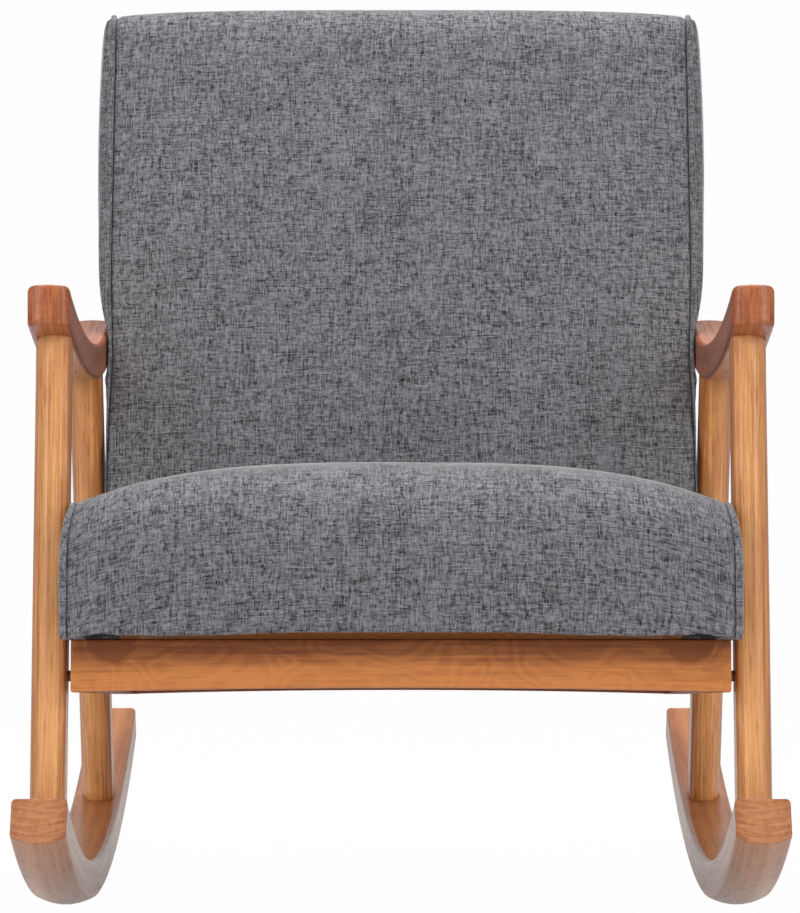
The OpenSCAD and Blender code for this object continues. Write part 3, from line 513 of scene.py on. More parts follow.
def linen_group():
    """Plain weave of slubbed threads: two crossing sets of threads with their own tones.

    Place is (across, along) on the flat cloth in metres. Each set is a row of bands one
    thread wide, and each thread is cut along itself into lengths of slub, which start at
    a place of their own. Every length has one tone. The tones of both sets are added, so
    short pale and dark dashes cross each other. Threads are darker at their edges, painted
    shade of their round profile, and the set on top alternates like a chessboard.
    """
    w, inp, out = new_group(
        "Linen Weave",
        {"Place": (0, 0, 0), "Light": (0.3, 0.3, 0.3, 1), "Dark": (0.05, 0.05, 0.05, 1), "Threads": 760.0},
        {"Color": 4, "Height": 1})
    place = inp["Place"]
    wander = w.node("TexNoise", Vector=place, Scale=22.0, Detail=1.0).outputs["Color"]
    parts = w.split(w.vector("MULTIPLY_ADD", wander, (WANDER, WANDER, 0.0), place))

    def chance(x, y):
        spot = w.join(X=x, Y=y)
        return w.node("TexWhiteNoise", {"noise_dimensions": "2D"}, Vector=spot).outputs["Value"]

    def threads(across, along, seed):
        """Profile, tone and number of one set."""
        at = w.times(across, inp["Threads"])
        number = w.maths("FLOOR", at)
        body = w.range(w.maths("ABSOLUTE", w.maths("SINE", w.times(at, math.pi))), 0.0, 0.8)
        tone = None
        for rate, more, weight in SLUBS:
            start = w.times(chance(number, seed + more), 7.0)
            slub = w.maths("FLOOR", w.times_plus(w.times(along, inp["Threads"]), rate, start))
            shade = chance(number, w.maths("ADD", slub, seed + more))
            tone = w.times(shade, weight) if tone is None else w.times_plus(shade, weight, tone)
        return body, tone, number

    warp, warp_tone, warp_number = threads(parts[0], parts[1], WARP_SEED)
    weft, weft_tone, weft_number = threads(parts[1], parts[0], WEFT_SEED)
    over = w.maths("PINGPONG", w.maths("ADD", warp_number, weft_number), 1.0)
    top = w.mix(over, warp_tone, weft_tone)
    tone = w.times_plus(w.maths("ADD", warp_tone, weft_tone), BOTH_SETS, w.times(top, UPPER_SET))
    tone = w.range(tone, *TONE_SPAN, smooth=False)
    body = w.mix(over, warp, weft)
    cloud = w.range(w.noise(place, 11.0, 2.0), 0.3, 0.7, 0.96, 1.03)
    # Painted shade between the threads: each thread darker at its edges, times a slow random tone.
    shade = w.times(w.times_plus(body, 0.3, 0.7), cloud)
    w.feed(out, {"Color": w.mix(w.times(tone, shade), inp["Dark"], inp["Light"]),
                 "Height": w.times_plus(tone, 0.5, w.times(body, 0.5))})


def new_material(name, shader="BsdfPrincipled"):
    """A material with only a shader and an output, and the wires to add to it."""
    material = bpy.data.materials.new(name)
    material.use_nodes = True
    material.node_tree.nodes.clear()
    w = Wires(material.node_tree)
    shader = w.node(shader)
    w.node("OutputMaterial", Surface=shader.outputs[0])
    return w, shader


def rgba(value):
    return (*value, 1.0)


def lacquered_wood(name, tint, shift, gloss=0.35, along="piece", **grain):
    """Wood under clear lacquer, with the grain along the piece or along one axis of the room.

    tint names a pair of colours: its own and that of its dark grain. grain holds more inputs of Wood Grain.
    """
    w, shader = new_material(name)
    place = w.attribute("grain") if along == "piece" else w.room_place()
    if along == "X":
        place = w.node("Mapping", Vector=place, Rotation=(0, 0, math.pi / 2)).outputs[0]
    made = w.group("Wood Grain", Place=place, Light=rgba(getattr(tones(), tint)),
                   Dark=rgba(getattr(tones(), tint + "_dark")), Shift=shift, **grain)
    w.feed(shader, {"Base Color": made["Color"], "Roughness": w.range(made["Pores"], 0.0, 1.0, 0.34, 0.55),
                    "Normal": w.bump(made["Height"], 0.08, 0.0003), "Coat Weight": gloss, "Coat Roughness": 0.2,
                    "Coat IOR": 1.45, "IOR": 1.45, "Specular IOR Level": 0.35})


def lining_or_painted_shade(w):
    """Colour past the seat cover's hem, and how far past it: dark lining, and in the middle painted shade, the
    rail's colour in shadow.

    The attribute hem holds how far a point is past the hem, and how far it is inside the middle.
    """
    hem = w.split(w.attribute("hem"))
    fleck = w.range(w.noise(w.stretch(w.cloth_place(), (90, 900, 1)), 1.0, 2.0), 0.3, 0.7, 0.55, 1.15)
    # Painted shade: the rail's colour at 0.3 of its brightness, flecked, standing for the rail in shadow under
    # the cushion.
    wood = w.mix(1.0, rgba([0.30 * c for c in tones().orange]), w.join(X=fleck, Y=fleck, Z=fleck), "MULTIPLY")
    below = w.mix(w.range(hem[1], -0.0005, 0.0005), rgba(tones().lining), wood)
    return below, w.range(hem[0], -0.0004, 0.0004)


def under_seat(name):
    """What lies past the seat cover's hem, dark lining and painted shade, out of sight of the cloth's sheen."""
    w, shader = new_material(name)
    w.feed(shader, {"Base Color": lining_or_painted_shade(w)[0], "Roughness": 0.9, "Specular IOR Level": 0.1})


def linen(name):
    """Upholstery cloth by its own flat coordinates, with painted shade along the seams and a change at the
    seat's hem.

    The third part of the attribute hem is the distance from the nearest seam.
    """
    # Painted shade in the groove beside each seam: a dark line just inside it.
    seam_shade_in, seam_shade_half, seam_shade_fade, seam_shade_tone = 0.0008, 0.0004, 0.0016, 0.62
    w, shader = new_material(name)
    dark = rgba(tones().linen_dark)
    weave = w.group("Linen Weave", Place=w.cloth_place(), Light=rgba(tones().linen_light), Dark=dark)
    seam = w.maths("ABSOLUTE", w.minus(w.split(w.attribute("hem"))[2], seam_shade_in))
    colour_here = w.mix(w.range(seam, seam_shade_half, seam_shade_fade, seam_shade_tone, 0.0), weave["Color"], dark)
    below, past = lining_or_painted_shade(w)
    w.feed(shader, {"Base Color": w.mix(past, colour_here, below), "Roughness": 0.9,
                    "Normal": w.bump(weave["Height"], 0.4, 0.0005),
                    "Sheen Weight": 1.0, "Sheen Roughness": 0.2, "Specular IOR Level": 0.15})


def plain_metal(name, tint, roughness, metallic):
    """Metal of the small fasteners, with fine brushing marks."""
    w, shader = new_material(name)
    marks = w.noise(w.stretch(w.room_place(), (300, 2600, 2600)), 1.0, 3.0, 0.6)
    w.feed(shader, {"Base Color": w.mix(w.range(marks, 0.3, 0.7), rgba(tint), rgba([c * 0.8 for c in tint])),
                    "Roughness": w.range(marks, 0.3, 0.7, roughness, roughness + 0.12), "Metallic": metallic,
                    "Normal": w.bump(marks, 0.15, 0.0002)})


def plain_cloth(name, tint, threads):
    """Simple fine cloth for linings and straps, by place in the room."""
    w, shader = new_material(name)
    weave = w.group("Linen Weave", Place=w.room_place(), Light=rgba([min(1, c * 1.7) for c in tint]),
                    Dark=rgba(tint), Threads=threads)
    w.feed(shader, {"Base Color": weave["Color"], "Roughness": 0.92, "Specular IOR Level": 0.15,
                    "Normal": w.bump(weave["Height"], 0.4, 0.0003)})


def dress(nodes, material):
    """Gives each CAD node of a list of names one material in all its slots."""
    for node in nodes.split():
        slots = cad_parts[node].data.materials
        slots.clear()
        slots.append(bpy.data.materials[material])


def finish_piece(piece, material, slot, *nodes):
    """Material and body of a new piece, and the CAD nodes that it stands for. slot is not used."""
    piece.data.materials.append(bpy.data.materials[material])
    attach(piece, "root")
    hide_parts(*nodes)
    return piece


def pair(name, outline, place, start, end, ease, material, slot, **detail):
    """The same bar in both side frames. place gives the left one's (x, y, z); the right one's X is minus it."""
    for word, side in SIDES.items():
        def mirrored(*at, side=side):
            x, y, z = place(*at)
            return np.stack([x * side, y, z], -1)

        piece = bar(f"dressed_{name}_{word}", outline, mirrored, start, end, ease, **detail)
        finish_piece(piece, material, slot, f"{name}_{word}")


# ---------- the operators ----------

class CHAIR_OT_studio(bpy.types.Operator):
    """White floor and backdrop, soft lamps and the level camera"""

    bl_idname = "chair.studio"
    bl_label = "Studio"

    def execute(self, context):
        s = context.scene.chair_studio
        half, reach, corner, top, steps = 9.0, 7.0, 1.2, 9.0, 25
        seen_white, mirrored_white, floor_grey = 0.985, 0.5, 0.62
        t = np.linspace(0, math.pi / 2, steps)
        run = np.concatenate([[-reach], reach - corner + corner * np.sin(t), [reach]])
        rise = np.concatenate([[0.0], corner - corner * np.cos(t), [top]])
        points = np.concatenate([np.stack([np.full_like(run, x), run, rise], -1) for x in (-half, half)])
        n = len(run)
        k = np.arange(n - 1)
        floor = mesh_piece("studio_sweep", points, np.stack([k, n + k, n + k + 1, k + 1], -1).tolist())
        w, blend = new_material("studio_white", "MixShader")
        seen = w.node("LightPath").outputs
        white = w.node("Emission", Color=(1, 1, 1, 1), Strength=1.0)
        matte = w.node("BsdfDiffuse", Color=rgba([floor_grey] * 3))
        direct = w.maths("MAXIMUM", w.times(seen["Is Camera Ray"], seen_white),
                         w.times(seen["Is Glossy Ray"], mirrored_white))
        w.feed(blend, {0: direct, 1: matte.outputs[0], 2: white.outputs[0]})
        floor.data.materials.append(bpy.data.materials["studio_white"])

        def put(name, data, place, turn):
            body = bpy.data.objects.new(name, data)
            body.location, body.rotation_euler = place, turn
            context.scene.collection.objects.link(body)
            return body

        def lamp(name, place, aim, width, height, power):
            light = bpy.data.lights.new(name, "AREA")
            light.shape, light.size, light.size_y, light.energy = "RECTANGLE", width, height, power
            look = np.subtract((0.0, 0.0, aim), place)
            put(name, light, place, (math.acos(-look[2] / np.linalg.norm(look)), 0.0,
                                     math.atan2(look[1], look[0]) - math.pi / 2))

        lamp("top_lamp", (0.0, 0.3, 3.1), 0.45, 2.4, 1.4, s.top_power)
        for word, side in SIDES.items():
            lamp(f"front_{word}_lamp", (-1.5 * side, -2.5, 2.0), 0.4, 1.8, 1.0, s.front_power)
        for word, side in SIDES.items():
            lamp(f"{word}_lamp", (-2.4 * side, -2.6, 1.5), 0.4, 0.9, 2.2, s.side_power)

        world = bpy.data.worlds.new("studio_world")
        world.use_nodes = True
        back = world.node_tree.nodes["Background"]
        back.inputs["Color"].default_value = (1, 1, 1, 1)
        back.inputs["Strength"].default_value = s.fill
        context.scene.world = world

        camera = bpy.data.cameras.new("camera")
        camera.lens, camera.sensor_width, camera.clip_end = s.lens, 36.0, 60.0
        camera.shift_x, camera.shift_y = s.side_shift, s.horizon_shift
        context.scene.camera = put("camera", camera, (0.0, tips_y() - s.camera_distance, s.camera_height),
                                   (math.pi / 2, 0.0, 0.0))
        context.scene.view_settings.view_transform = "Standard"
        return {"FINISHED"}


class CHAIR_OT_finishes(bpy.types.Operator):
    """Node groups and materials, and the materials of the CAD nodes that stay"""

    bl_idname = "chair.finishes"
    bl_label = "Finishes"

    def execute(self, context):
        wood_group()
        linen_group()
        lacquered_wood("honey_lacquer", "honey", (0.3, 0.1, 0.2), Contrast=1.1, Figure=0.10, Pore_Depth=0.24,
                       Edge=0.0165)
        lacquered_wood("maple_lacquer", "maple", (0.9, 0.6, 0.4), Contrast=1.1, Figure=0.16, Curl=1.6,
                       Pore_Depth=0.24, Edge=0.0165)
        lacquered_wood("rocker_lacquer", "amber", (0.7, 0.4, 0.1), Contrast=0.85, Figure=0.14, Curl=4.0,
                       Pore_Depth=0.05, Layers=0.55, Layer_Stretch=(45, 2.0, 430), Edge=0.027)
        lacquered_wood("armrest_lacquer", "russet", (0.2, 0.8, 0.5), Contrast=0.9, Figure=0.14, Pore_Depth=0.2,
                       Layers=0.6, Edge=0.0210)
        # The front rail gets painted shadow towards its upper edge, under the cushion's nose, and painted light
        # lower down.
        lacquered_wood("rail_lacquer", "orange", (0.5, 0.3, 0.9), Contrast=0.85, Figure=0.22, Curl=13.0,
                       Pore_Depth=0.1, Layers=0.06, Upper_Tone=0.9, Knot=(0.0, 0.262, 0.021), Knot_Size=0.022)
        lacquered_wood("raw_rail", "russet", (0.4, 0.6, 0.3), 0.1, Contrast=0.9)
        lacquered_wood("stained_board", "russet", (0.8, 0.2, 0.6), 0.1, "Y", Contrast=0.9)
        lacquered_wood("raw_board", "raw", (0.1, 0.2, 0.7), 0.05, "Y", Contrast=0.9)
        lacquered_wood("raw_cross_board", "raw", (0.6, 0.3, 0.2), 0.05, "X", Contrast=0.9)
        linen("sewn_linen")
        under_seat("seat_underside")
        plain_metal("bright_steel", (0.62, 0.62, 0.64), 0.28, 1.0)
        plain_metal("dark_bronze", (0.16, 0.10, 0.065), 0.38, 0.7)
        plain_cloth("black_lining", tuple(tones().lining), 900.0)
        dress("side_rail_left side_rail_right corner_blocks", "stained_board")
        dress("back_stile_left back_stile_right rocker_dowels arm_dowels rail_dowels back_dowels", "raw_board")
        dress("middle_cross_rail seat_board back_top_rail back_middle_rail back_bottom_rail", "raw_cross_board")
        dress("seat_bolts seat_bolt_washers back_bolts back_bolt_washers corner_block_screws seat_board_screws",
              "bright_steel")
        dress("seat_spacers seat_inserts back_spacers back_inserts", "dark_bronze")
        dress("back_webbing", "black_lining")
        return {"FINISHED"}


class CHAIR_OT_rockers(bpy.types.Operator):
    """Two rockers: a flat-sided section with a rounded belly along two arcs"""

    bl_idname = "chair.rockers"
    bl_label = "Rockers"

    def execute(self, context):
        s = sizes()
        low_y = tips_y() + s.rocker_front_len
        full = s.rocker_side_h + s.rocker_belly
        half, rise = s.rocker_w / 2, s.rocker_side_h / 2
        middle = s.rocker_belly + rise
        front = -s.rocker_front_r * math.asin(s.rocker_front_len / s.rocker_front_r)
        rear = s.rocker_rear_r * math.asin(s.rocker_rear_len / s.rocker_rear_r)

        def place(across, up, along):
            """Arc length along the belly line to a point: the angle is the length over that arc's radius.

            The lower face drops by a parabola across the width, to nothing at the top.
            """
            height = middle + up
            height = height - s.rocker_belly * (1 - (across / half) ** 2) * (full - height) / s.rocker_side_h
            r = np.where(along < 0, s.rocker_front_r, s.rocker_rear_r)
            y = low_y + (r - height) * np.sin(along / r)
            z = r - (r - height) * np.cos(along / r)
            return s.spacing / 2 + s.rocker_offset + across, y, z

        outline = rounded_bar_outline(half, rise, [s.rocker_low_r] * 2 + [s.rocker_edge_r] * 2)
        pair("rocker", outline, place, square_end(front), square_end(rear), s.end_ease, "rocker_lacquer",
             "rocker_wood", rows=150)
        return {"FINISHED"}


def reach_drum(base_y, lean, up, centre_y, centre_z, radius):
    """Distance up a leaning line to the first point of a big cylinder seen from below.

    The line starts on the floor at base_y, moved by up at right angles to it, and this is
    the smaller root of the quadratic for its distance from the cylinder's axis.
    """
    along_y, along_z = math.sin(lean), math.cos(lean)
    off_y = base_y + up * along_z - centre_y
    off_z = -up * along_y - centre_z
    b = off_y * along_y + off_z * along_z
    return -b - np.sqrt(b * b - (off_y ** 2 + off_z ** 2 - radius ** 2))


class CHAIR_OT_legs(bpy.types.Operator):
    """Four legs, cut to the rockers' tops and to the armrests' undersides"""

    bl_idname = "chair.legs"
    bl_label = "Legs"

    def execute(self, context):
        s = sizes()
        tips = tips_y()
        low_y, arm_y = tips + s.rocker_front_len, tips + s.arm_low_y
        half_w, half_d = s.leg_w / 2, s.leg_d / 2 - s.leg_bulge
        outline = rounded_bar_outline(half_w, half_d,
                                      [s.leg_inner_r, s.leg_outer_r, s.leg_outer_r, s.leg_inner_r], steps=12)
        outline[:, 1] += s.leg_bulge * (1 - (outline[:, 0] / half_w) ** 2) * outline[:, 1] / half_d
        full = s.rocker_side_h + s.rocker_belly

        def legs(kind, base_y, lean, rocker_r, arm_r, lacquer):
            def foot(across, up):
                return reach_drum(base_y, lean, up, low_y, rocker_r, rocker_r - full)

            def head(across, up):
                return reach_drum(base_y, lean, up, arm_y, s.arm_low_z + arm_r, arm_r + s.arm_t)

            def place(across, up, along):
                """Along the leaning axis from the floor, with up at right angles to it."""
                y = base_y + along * math.sin(lean) + up * math.cos(lean)
                z = along * math.cos(lean) - up * math.sin(lean)
                return s.spacing / 2 + across, y, z

            pair(kind + "_leg", outline, place, foot, head, s.end_ease / 3, lacquer, "leg_wood")

        legs("front", tips + s.front_leg_y, s.front_lean, s.rocker_front_r, s.arm_front_r, "honey_lacquer")
        legs("rear", tips + s.rear_leg_y, -s.rear_lean, s.rocker_rear_r, s.arm_rear_r, "maple_lacquer")
        return {"FINISHED"}


class CHAIR_OT_armrests(bpy.types.Operator):
    """Two swept armrests with ends rounded in plan"""

    bl_idname = "chair.armrests"
    bl_label = "Armrests"

    def execute(self, context):
        s = sizes()
        mid_y = tips_y() + s.arm_low_y
        (_, front_y, _), (_, rear_y, _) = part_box("armrest_left")
        half_t = s.arm_t / 2
        outline = rounded_bar_outline(s.arm_w / 2, half_t, [s.arm_edge_r] * 2 + [s.arm_top_r] * 2, spans=10)

        def sag(across):
            return s.arm_nose_r - np.sqrt(s.arm_nose_r ** 2 - across ** 2)

        def place(across, up, along):
            """The distance along is plain Y; the height is that of a circle about the arc's centre."""
            r = np.where(along < mid_y, s.arm_front_r, s.arm_rear_r)
            z = s.arm_low_z + r - np.sqrt((r + half_t - up) ** 2 - (along - mid_y) ** 2)
            return s.spacing / 2 + s.arm_offset + across, along, z

        pair("armrest", outline, place, lambda a, u: front_y + sag(a), lambda a, u: rear_y - sag(a),
             s.arm_edge_r, "armrest_lacquer", "arm_wood", rows=110, cap_rings=8)
        return {"FINISHED"}


# ---------- soft pieces ----------

SEAM_STEPS = (0.0, 0.0007, 0.0016, 0.0028, 0.0045, 0.0070, 0.0105, 0.0155)   # a panel's points, in from its seam
GROOVE_REACH = 1.1          # reach of the groove beside a welt, in radii of the welt
WELT_TURN = np.radians(np.linspace(205, -35, 9))   # round the welt, from the main panel to the side panel
WELT_OUT = 0.95             # the welt's middle line, in radii beyond the main panel
WELT_SUNK = 0.15            # and in radii under the panel's face
SIDE_START = 1.75           # where the side panel starts, in radii beyond the main panel
SIDE_STEPS = (0.0035, 0.0055, 0.0080)              # first rings of the side panel, in from the outline
SIDE_SHARES = (0.965, 0.91, 0.84, 0.75, 0.64, 0.50, 0.34, 0.17)   # further rings, by their size
RIM_ROWS = len(WELT_TURN) + len(SIDE_STEPS)        # rings of a side before those that shrink to its middle


def even_loop(corners, radii, number):
    """A rounded polygon as a closed loop of evenly spaced points."""
    dense = rounded_outline(corners, radii, steps=28, spans=30)
    dense = np.concatenate([dense, dense[:1]])
    run = np.append(0, np.cumsum(np.linalg.norm(np.diff(dense, axis=0), axis=1)))
    at = np.linspace(0, run[-1], number, endpoint=False)
    return np.stack([np.interp(at, run, dense[:, k]) for k in (0, 1)], -1)


def outward(loops):
    """Unit vectors at right angles to each loop, pointing out of it."""
    along = np.roll(loops, -1, axis=-2) - np.roll(loops, 1, axis=-2)
    normal = np.stack([along[..., 1], -along[..., 0]], -1)
    normal /= np.linalg.norm(normal, axis=-1, keepdims=True)
    middle = loops.mean(axis=-2, keepdims=True)
    facing = np.sign(((loops - middle) * normal).sum(-1).mean(-1))
    return normal * facing[..., None, None]


def smooth_step(value, low, high):
    """0 below low and 1 above high, with an S-shaped blend between them."""
    t = np.clip((value - low) / (high - low), 0, 1)
    return t * t * (3 - 2 * t)


def arch(share):
    """A sine's half wave over 0 to 1, and nothing outside."""
    return np.sin(math.pi * np.clip(share, 0, 1))


def across_columns(half, spacing):
    """Places across a panel, from -1 to 1 times half, close together next to its seams."""
    inner = half - SEAM_STEPS[-1]
    middle = np.linspace(-inner, inner, 2 * round(inner / spacing) + 1)
    edge = half - np.array(SEAM_STEPS[:-1])
    return np.concatenate([-edge, middle, edge[::-1]]) / half


def cushion_rings(loop_at, half_at, columns, soft):
    """Rings of a boxed cushion, from one side to the other, in (across, first, second).

    loop_at(share) gives the cushion's closed side outline at a place across it, and
    half_at(loop) the half width of its main panel at each point of that outline. Next to
    each seam the panel dips into a groove, then comes a welt, which is most of a circle, and
    then the side panel. That swells out along a quarter of an ellipse and closes in rings
    towards its middle. soft holds the sizes: groove, welt_r, swell, reach, and how much
    of the welt stands above the panels.
    """
    loops = np.stack([loop_at(share) for share in columns])
    normals = outward(loops)
    half = half_at(loops[0])
    distance = (1 - np.abs(columns))[:, None] * half
    r = soft["welt_r"]
    dip = soft["groove"] * np.exp(-(distance / (GROOVE_REACH * r)) ** 2)
    main = np.concatenate([(columns[:, None] * half)[..., None], loops - normals * dip[..., None]], -1)
    sides = []
    for side, loop, normal in ((-1, loops[0], normals[0]), (1, loops[-1], normals[-1])):
        centre = loop.mean(axis=0)
        rings = [(half + r * (WELT_OUT + np.cos(a)), loop + normal * r * (np.sin(a) - WELT_SUNK) * soft["lift"])
                 for a in WELT_TURN]
        inward = loop - normal * SIDE_STEPS[-1]
        paths = [loop - normal * d for d in SIDE_STEPS] + [centre + (inward - centre) * w for w in SIDE_SHARES]
        for path in paths:
            gap = np.linalg.norm(path[:, None] - loop[None], axis=-1).min(axis=1)
            t = np.clip(gap / soft["reach"], 0, 1)
            rings.append((half + r * SIDE_START + soft["swell"] * np.sqrt(1 - (1 - t) ** 2), path))
        sides.append(np.stack([np.concatenate([(side * x)[:, None], path], -1) for x, path in rings]))
    return np.concatenate([sides[0][::-1], main, sides[1]]), len(sides[0])


SIDE_CLOTH = (2.0, 1.0)     # where the side panels lie on the flat cloth, away from the main panel


def cushion_uv(rings, side_rows):
    """Flat places of the cloth per band of faces, in metres.

    The main panel lies by its place across and by the length round the outline. A side
    panel lies by the two coordinates of the outline's plane, pushed inwards by the length
    gone from the seam, so that the welt isn't stretched. A band's two rows are kept apart
    from the next band's, so the pattern breaks at the seams as cut cloth does.
    """
    closed = np.concatenate([rings, rings[:, :1]], axis=1)
    middle = closed[len(rings) // 2, :, 1:]
    run = np.append(0, np.cumsum(np.linalg.norm(np.diff(middle, axis=0), axis=1)))
    main = np.stack([closed[..., 0], np.broadcast_to(run, closed.shape[:2])], -1)

    def side_places(part):
        """part runs from the seam inwards; deep rings shrink towards the middle in step."""
        gone = np.cumsum(np.append([0], np.linalg.norm(np.diff(part, axis=0), axis=-1).mean(axis=1)))
        seam = part[0, :, 1:]
        centre = seam[:-1].mean(axis=0)
        inward = -outward(seam[None, :-1])[0]
        inward = np.concatenate([inward, inward[:1]])
        flat = [seam + inward * g for g in gone[:RIM_ROWS]]
        size = np.linalg.norm(part[RIM_ROWS - 1:, :, 1:] - centre, axis=-1).mean(axis=1)
        flat += [centre + (flat[-1] - centre) * (s / size[0]) for s in size[1:]]
        return np.stack(flat) + SIDE_CLOTH

    low = side_places(closed[side_rows::-1])[::-1]
    high = side_places(closed[-side_rows - 1:])
    bands = [np.stack([part[:-1], part[1:]], 1) for part in (low, main[side_rows:-side_rows], high)]
    return np.concatenate(bands), low[0].mean(axis=0), high[-1].mean(axis=0)


def seam_distance(rings, side_rows):
    """Distance of each ring point of the main panel from its seam; less than 0 beyond the seam."""
    across = np.abs(rings[..., 0])
    away = across[side_rows][None] - across
    away[:side_rows] = away[-side_rows:] = -0.01
    away[side_rows - 1] = away[-side_rows] = -0.0005
    return away


def ring_mesh(name, points, uv, hem=None):
    """A closed mesh from rings of points: quads between rings and a fan at each end.

    hem gives every ring point three distances, kept as an attribute for the material. Faces
    past the hem get the second material.
    """
    rings, cols = points.shape[:2]
    bands, low_uv, high_uv = uv
    parts = tube_faces(rings, cols)
    quad_uv = np.stack([bands[:, 0, :-1], bands[:, 0, 1:], bands[:, 1, 1:], bands[:, 1, :-1]], 2)
    low_fan = np.stack([bands[0, 0, 1:], bands[0, 0, :-1], np.tile(low_uv, (cols, 1))], 1)
    high_fan = np.stack([bands[-1, 1, :-1], bands[-1, 1, 1:], np.tile(high_uv, (cols, 1))], 1)
    flat = np.concatenate([points.reshape(-1, 3), [points[0].mean(axis=0)], [points[-1].mean(axis=0)]])
    faces, order = wound(flat, parts)
    piece = mesh_piece(name, flat, faces)
    corner_uv = [part[:, ::order].reshape(-1, 2) for part in (quad_uv.reshape(-1, 4, 2), low_fan, high_fan)]
    layer = piece.data.uv_layers.new(name="cloth")
    layer.data.foreach_set("uv", np.concatenate(corner_uv).ravel())
    if hem is not None:
        values = np.full((len(flat), 3), -1.0)
        values[:rings * cols] = hem.reshape(-1, 3)
        piece.data.attributes.new("hem", "FLOAT_VECTOR", "POINT").data.foreach_set("vector", values.ravel())
        kinds = np.zeros(len(faces), dtype=np.int32)
        kinds[:len(parts[0])] = (values[:, 0] > 0)[parts[0]].all(axis=1)
        piece.data.polygons.foreach_set("material_index", kinds)
    return piece


CLOTH_FRAMES = 20           # frames of the cloth simulation
CLOTH = {"quality": 6, "mass": 0.4, "tension_stiffness": 18, "compression_stiffness": 18, "shear_stiffness": 10,
         "bending_stiffness": 1.5, "use_pressure": True, "vertex_group_mass": "held"}


def puff(points, uv, pinned, pressure, cap):
    """Cloth simulation of the cover under the filling's pressure, with the seams held.

    No point moves further than cap, and the result is read back ring by ring.
    """
    piece = ring_mesh("cover_at_work", points, uv)
    held = piece.vertex_groups.new(name="held")
    held.add(np.flatnonzero(np.append(pinned.ravel(), [True, True])).tolist(), 1.0, "REPLACE")
    cloth = piece.modifiers.new("cloth", "CLOTH")
    for key, value in CLOTH.items():
        setattr(cloth.settings, key, value)
    cloth.settings.uniform_pressure_force = pressure
    cloth.settings.effector_weights.gravity = 0
    cloth.collision_settings.use_collision = False
    scene = bpy.context.scene
    for step in range(1, CLOTH_FRAMES + 1):
        scene.frame_set(step)
    settled = piece.evaluated_get(bpy.context.evaluated_depsgraph_get()).to_mesh()
    after = np.empty(len(settled.vertices) * 3, dtype=np.float32)
    settled.vertices.foreach_get("co", after)
    after = after.reshape(-1, 3)[:-2].reshape(points.shape)
    scene.frame_set(1)
    bpy.data.objects.remove(piece)
    move = after - points
    far = np.linalg.norm(move, axis=-1, keepdims=True)
    return points + move * np.minimum(1, cap / np.maximum(far, 1e-9))


class Tilted:
    """A frame tilted about the X axis, with its own along and up axes, as the seat's and the back's are."""

    def __init__(self, y, z, tilt):
        self.y, self.z, self.c, self.s = y, z, math.cos(tilt), math.sin(tilt)

    def world(self, across, along, up):
        parts = (across, self.y + along * self.c + up * self.s, self.z - along * self.s + up * self.c)
        return np.stack(np.broadcast_arrays(*parts), -1)

    def local(self, y, z):
        return (y - self.y) * self.c - (z - self.z) * self.s, (y - self.y) * self.s + (z - self.z) * self.c


def axis_y(which, z):
    """Y of a leg's axis at a height: the front legs lean back, the rear legs forward."""
    s = sizes()
    if which == "front":
        return tips_y() + s.front_leg_y + z * math.tan(s.front_lean)
    return tips_y() + s.rear_leg_y - z * math.tan(s.rear_lean)


def seat_frame():
    c = cushions()
    return Tilted(axis_y("front", c.seat_bolt_z), c.seat_bolt_z, c.seat_slope)


def back_frame():
    """Through the lower back bolt on the rear leg's axis and the upper one in the armrest's middle."""
    s, c = sizes(), cushions()
    y = axis_y("rear", c.back_bolt_z)
    top_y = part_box("armrest_left")[1][1] - c.back_bolt_in
    reach = s.arm_rear_r + s.arm_t / 2
    top_z = s.arm_low_z + s.arm_rear_r - math.sqrt(reach ** 2 - (top_y - tips_y() - s.arm_low_y) ** 2)
    return Tilted(y, c.back_bolt_z, math.atan2(top_y - y, top_z - c.back_bolt_z))


def beside_legs(points):
    """How far the cloth may reach sideways beside the legs, at each point: further out, away from them."""
    s, c = sizes(), cushions()
    more, ease, spread = 0.03, 0.001, 0.034
    y, z = points[..., 1], points[..., 2]
    limit = np.full(y.shape, 1.0)
    for which, lean in (("front", s.front_lean), ("rear", s.rear_lean)):
        off = np.abs(y - axis_y(which, z)) * math.cos(lean) - s.leg_d / 2
        room = s.spacing / 2 - s.leg_w / 2 - c.neighbour_gap + more * smooth_step(off, ease, spread) ** 1.5
        limit = np.minimum(limit, room)
    return limit


def beside_arms(points):
    """How far the cloth may reach sideways beside the armrests: further out, above and below them."""
    s, c = sizes(), cushions()
    more, spread, furthest = 0.0175, 0.045, 0.4
    y, z = points[..., 1], points[..., 2]
    off_y = y - tips_y() - s.arm_low_y
    r = np.where(off_y < 0, s.arm_front_r, s.arm_rear_r)
    top = s.arm_low_z + r - np.sqrt(r ** 2 - np.minimum(np.abs(off_y), furthest) ** 2)
    over = np.maximum(np.maximum(z - top, top - s.arm_t - z), 0)
    face = s.spacing / 2 + s.arm_offset - s.arm_w / 2 - c.neighbour_gap
    return face + more * (1 - np.exp(-over / spread))


def pressed(points, limits):
    """The points with X softly held inside the limits: the last 2 mm are eased in."""
    x = np.abs(points[..., 0])
    ease = 0.002
    over = x - (limits - ease)
    held = np.where(over > 0, limits - ease + ease * (1 - np.exp(-over / ease)), x)
    return np.concatenate([(np.sign(points[..., 0]) * held)[..., None], points[..., 1:]], -1)


HELD_SIDE, HELD_MAIN = 11, 6    # rows that the simulation holds on each side of a seam


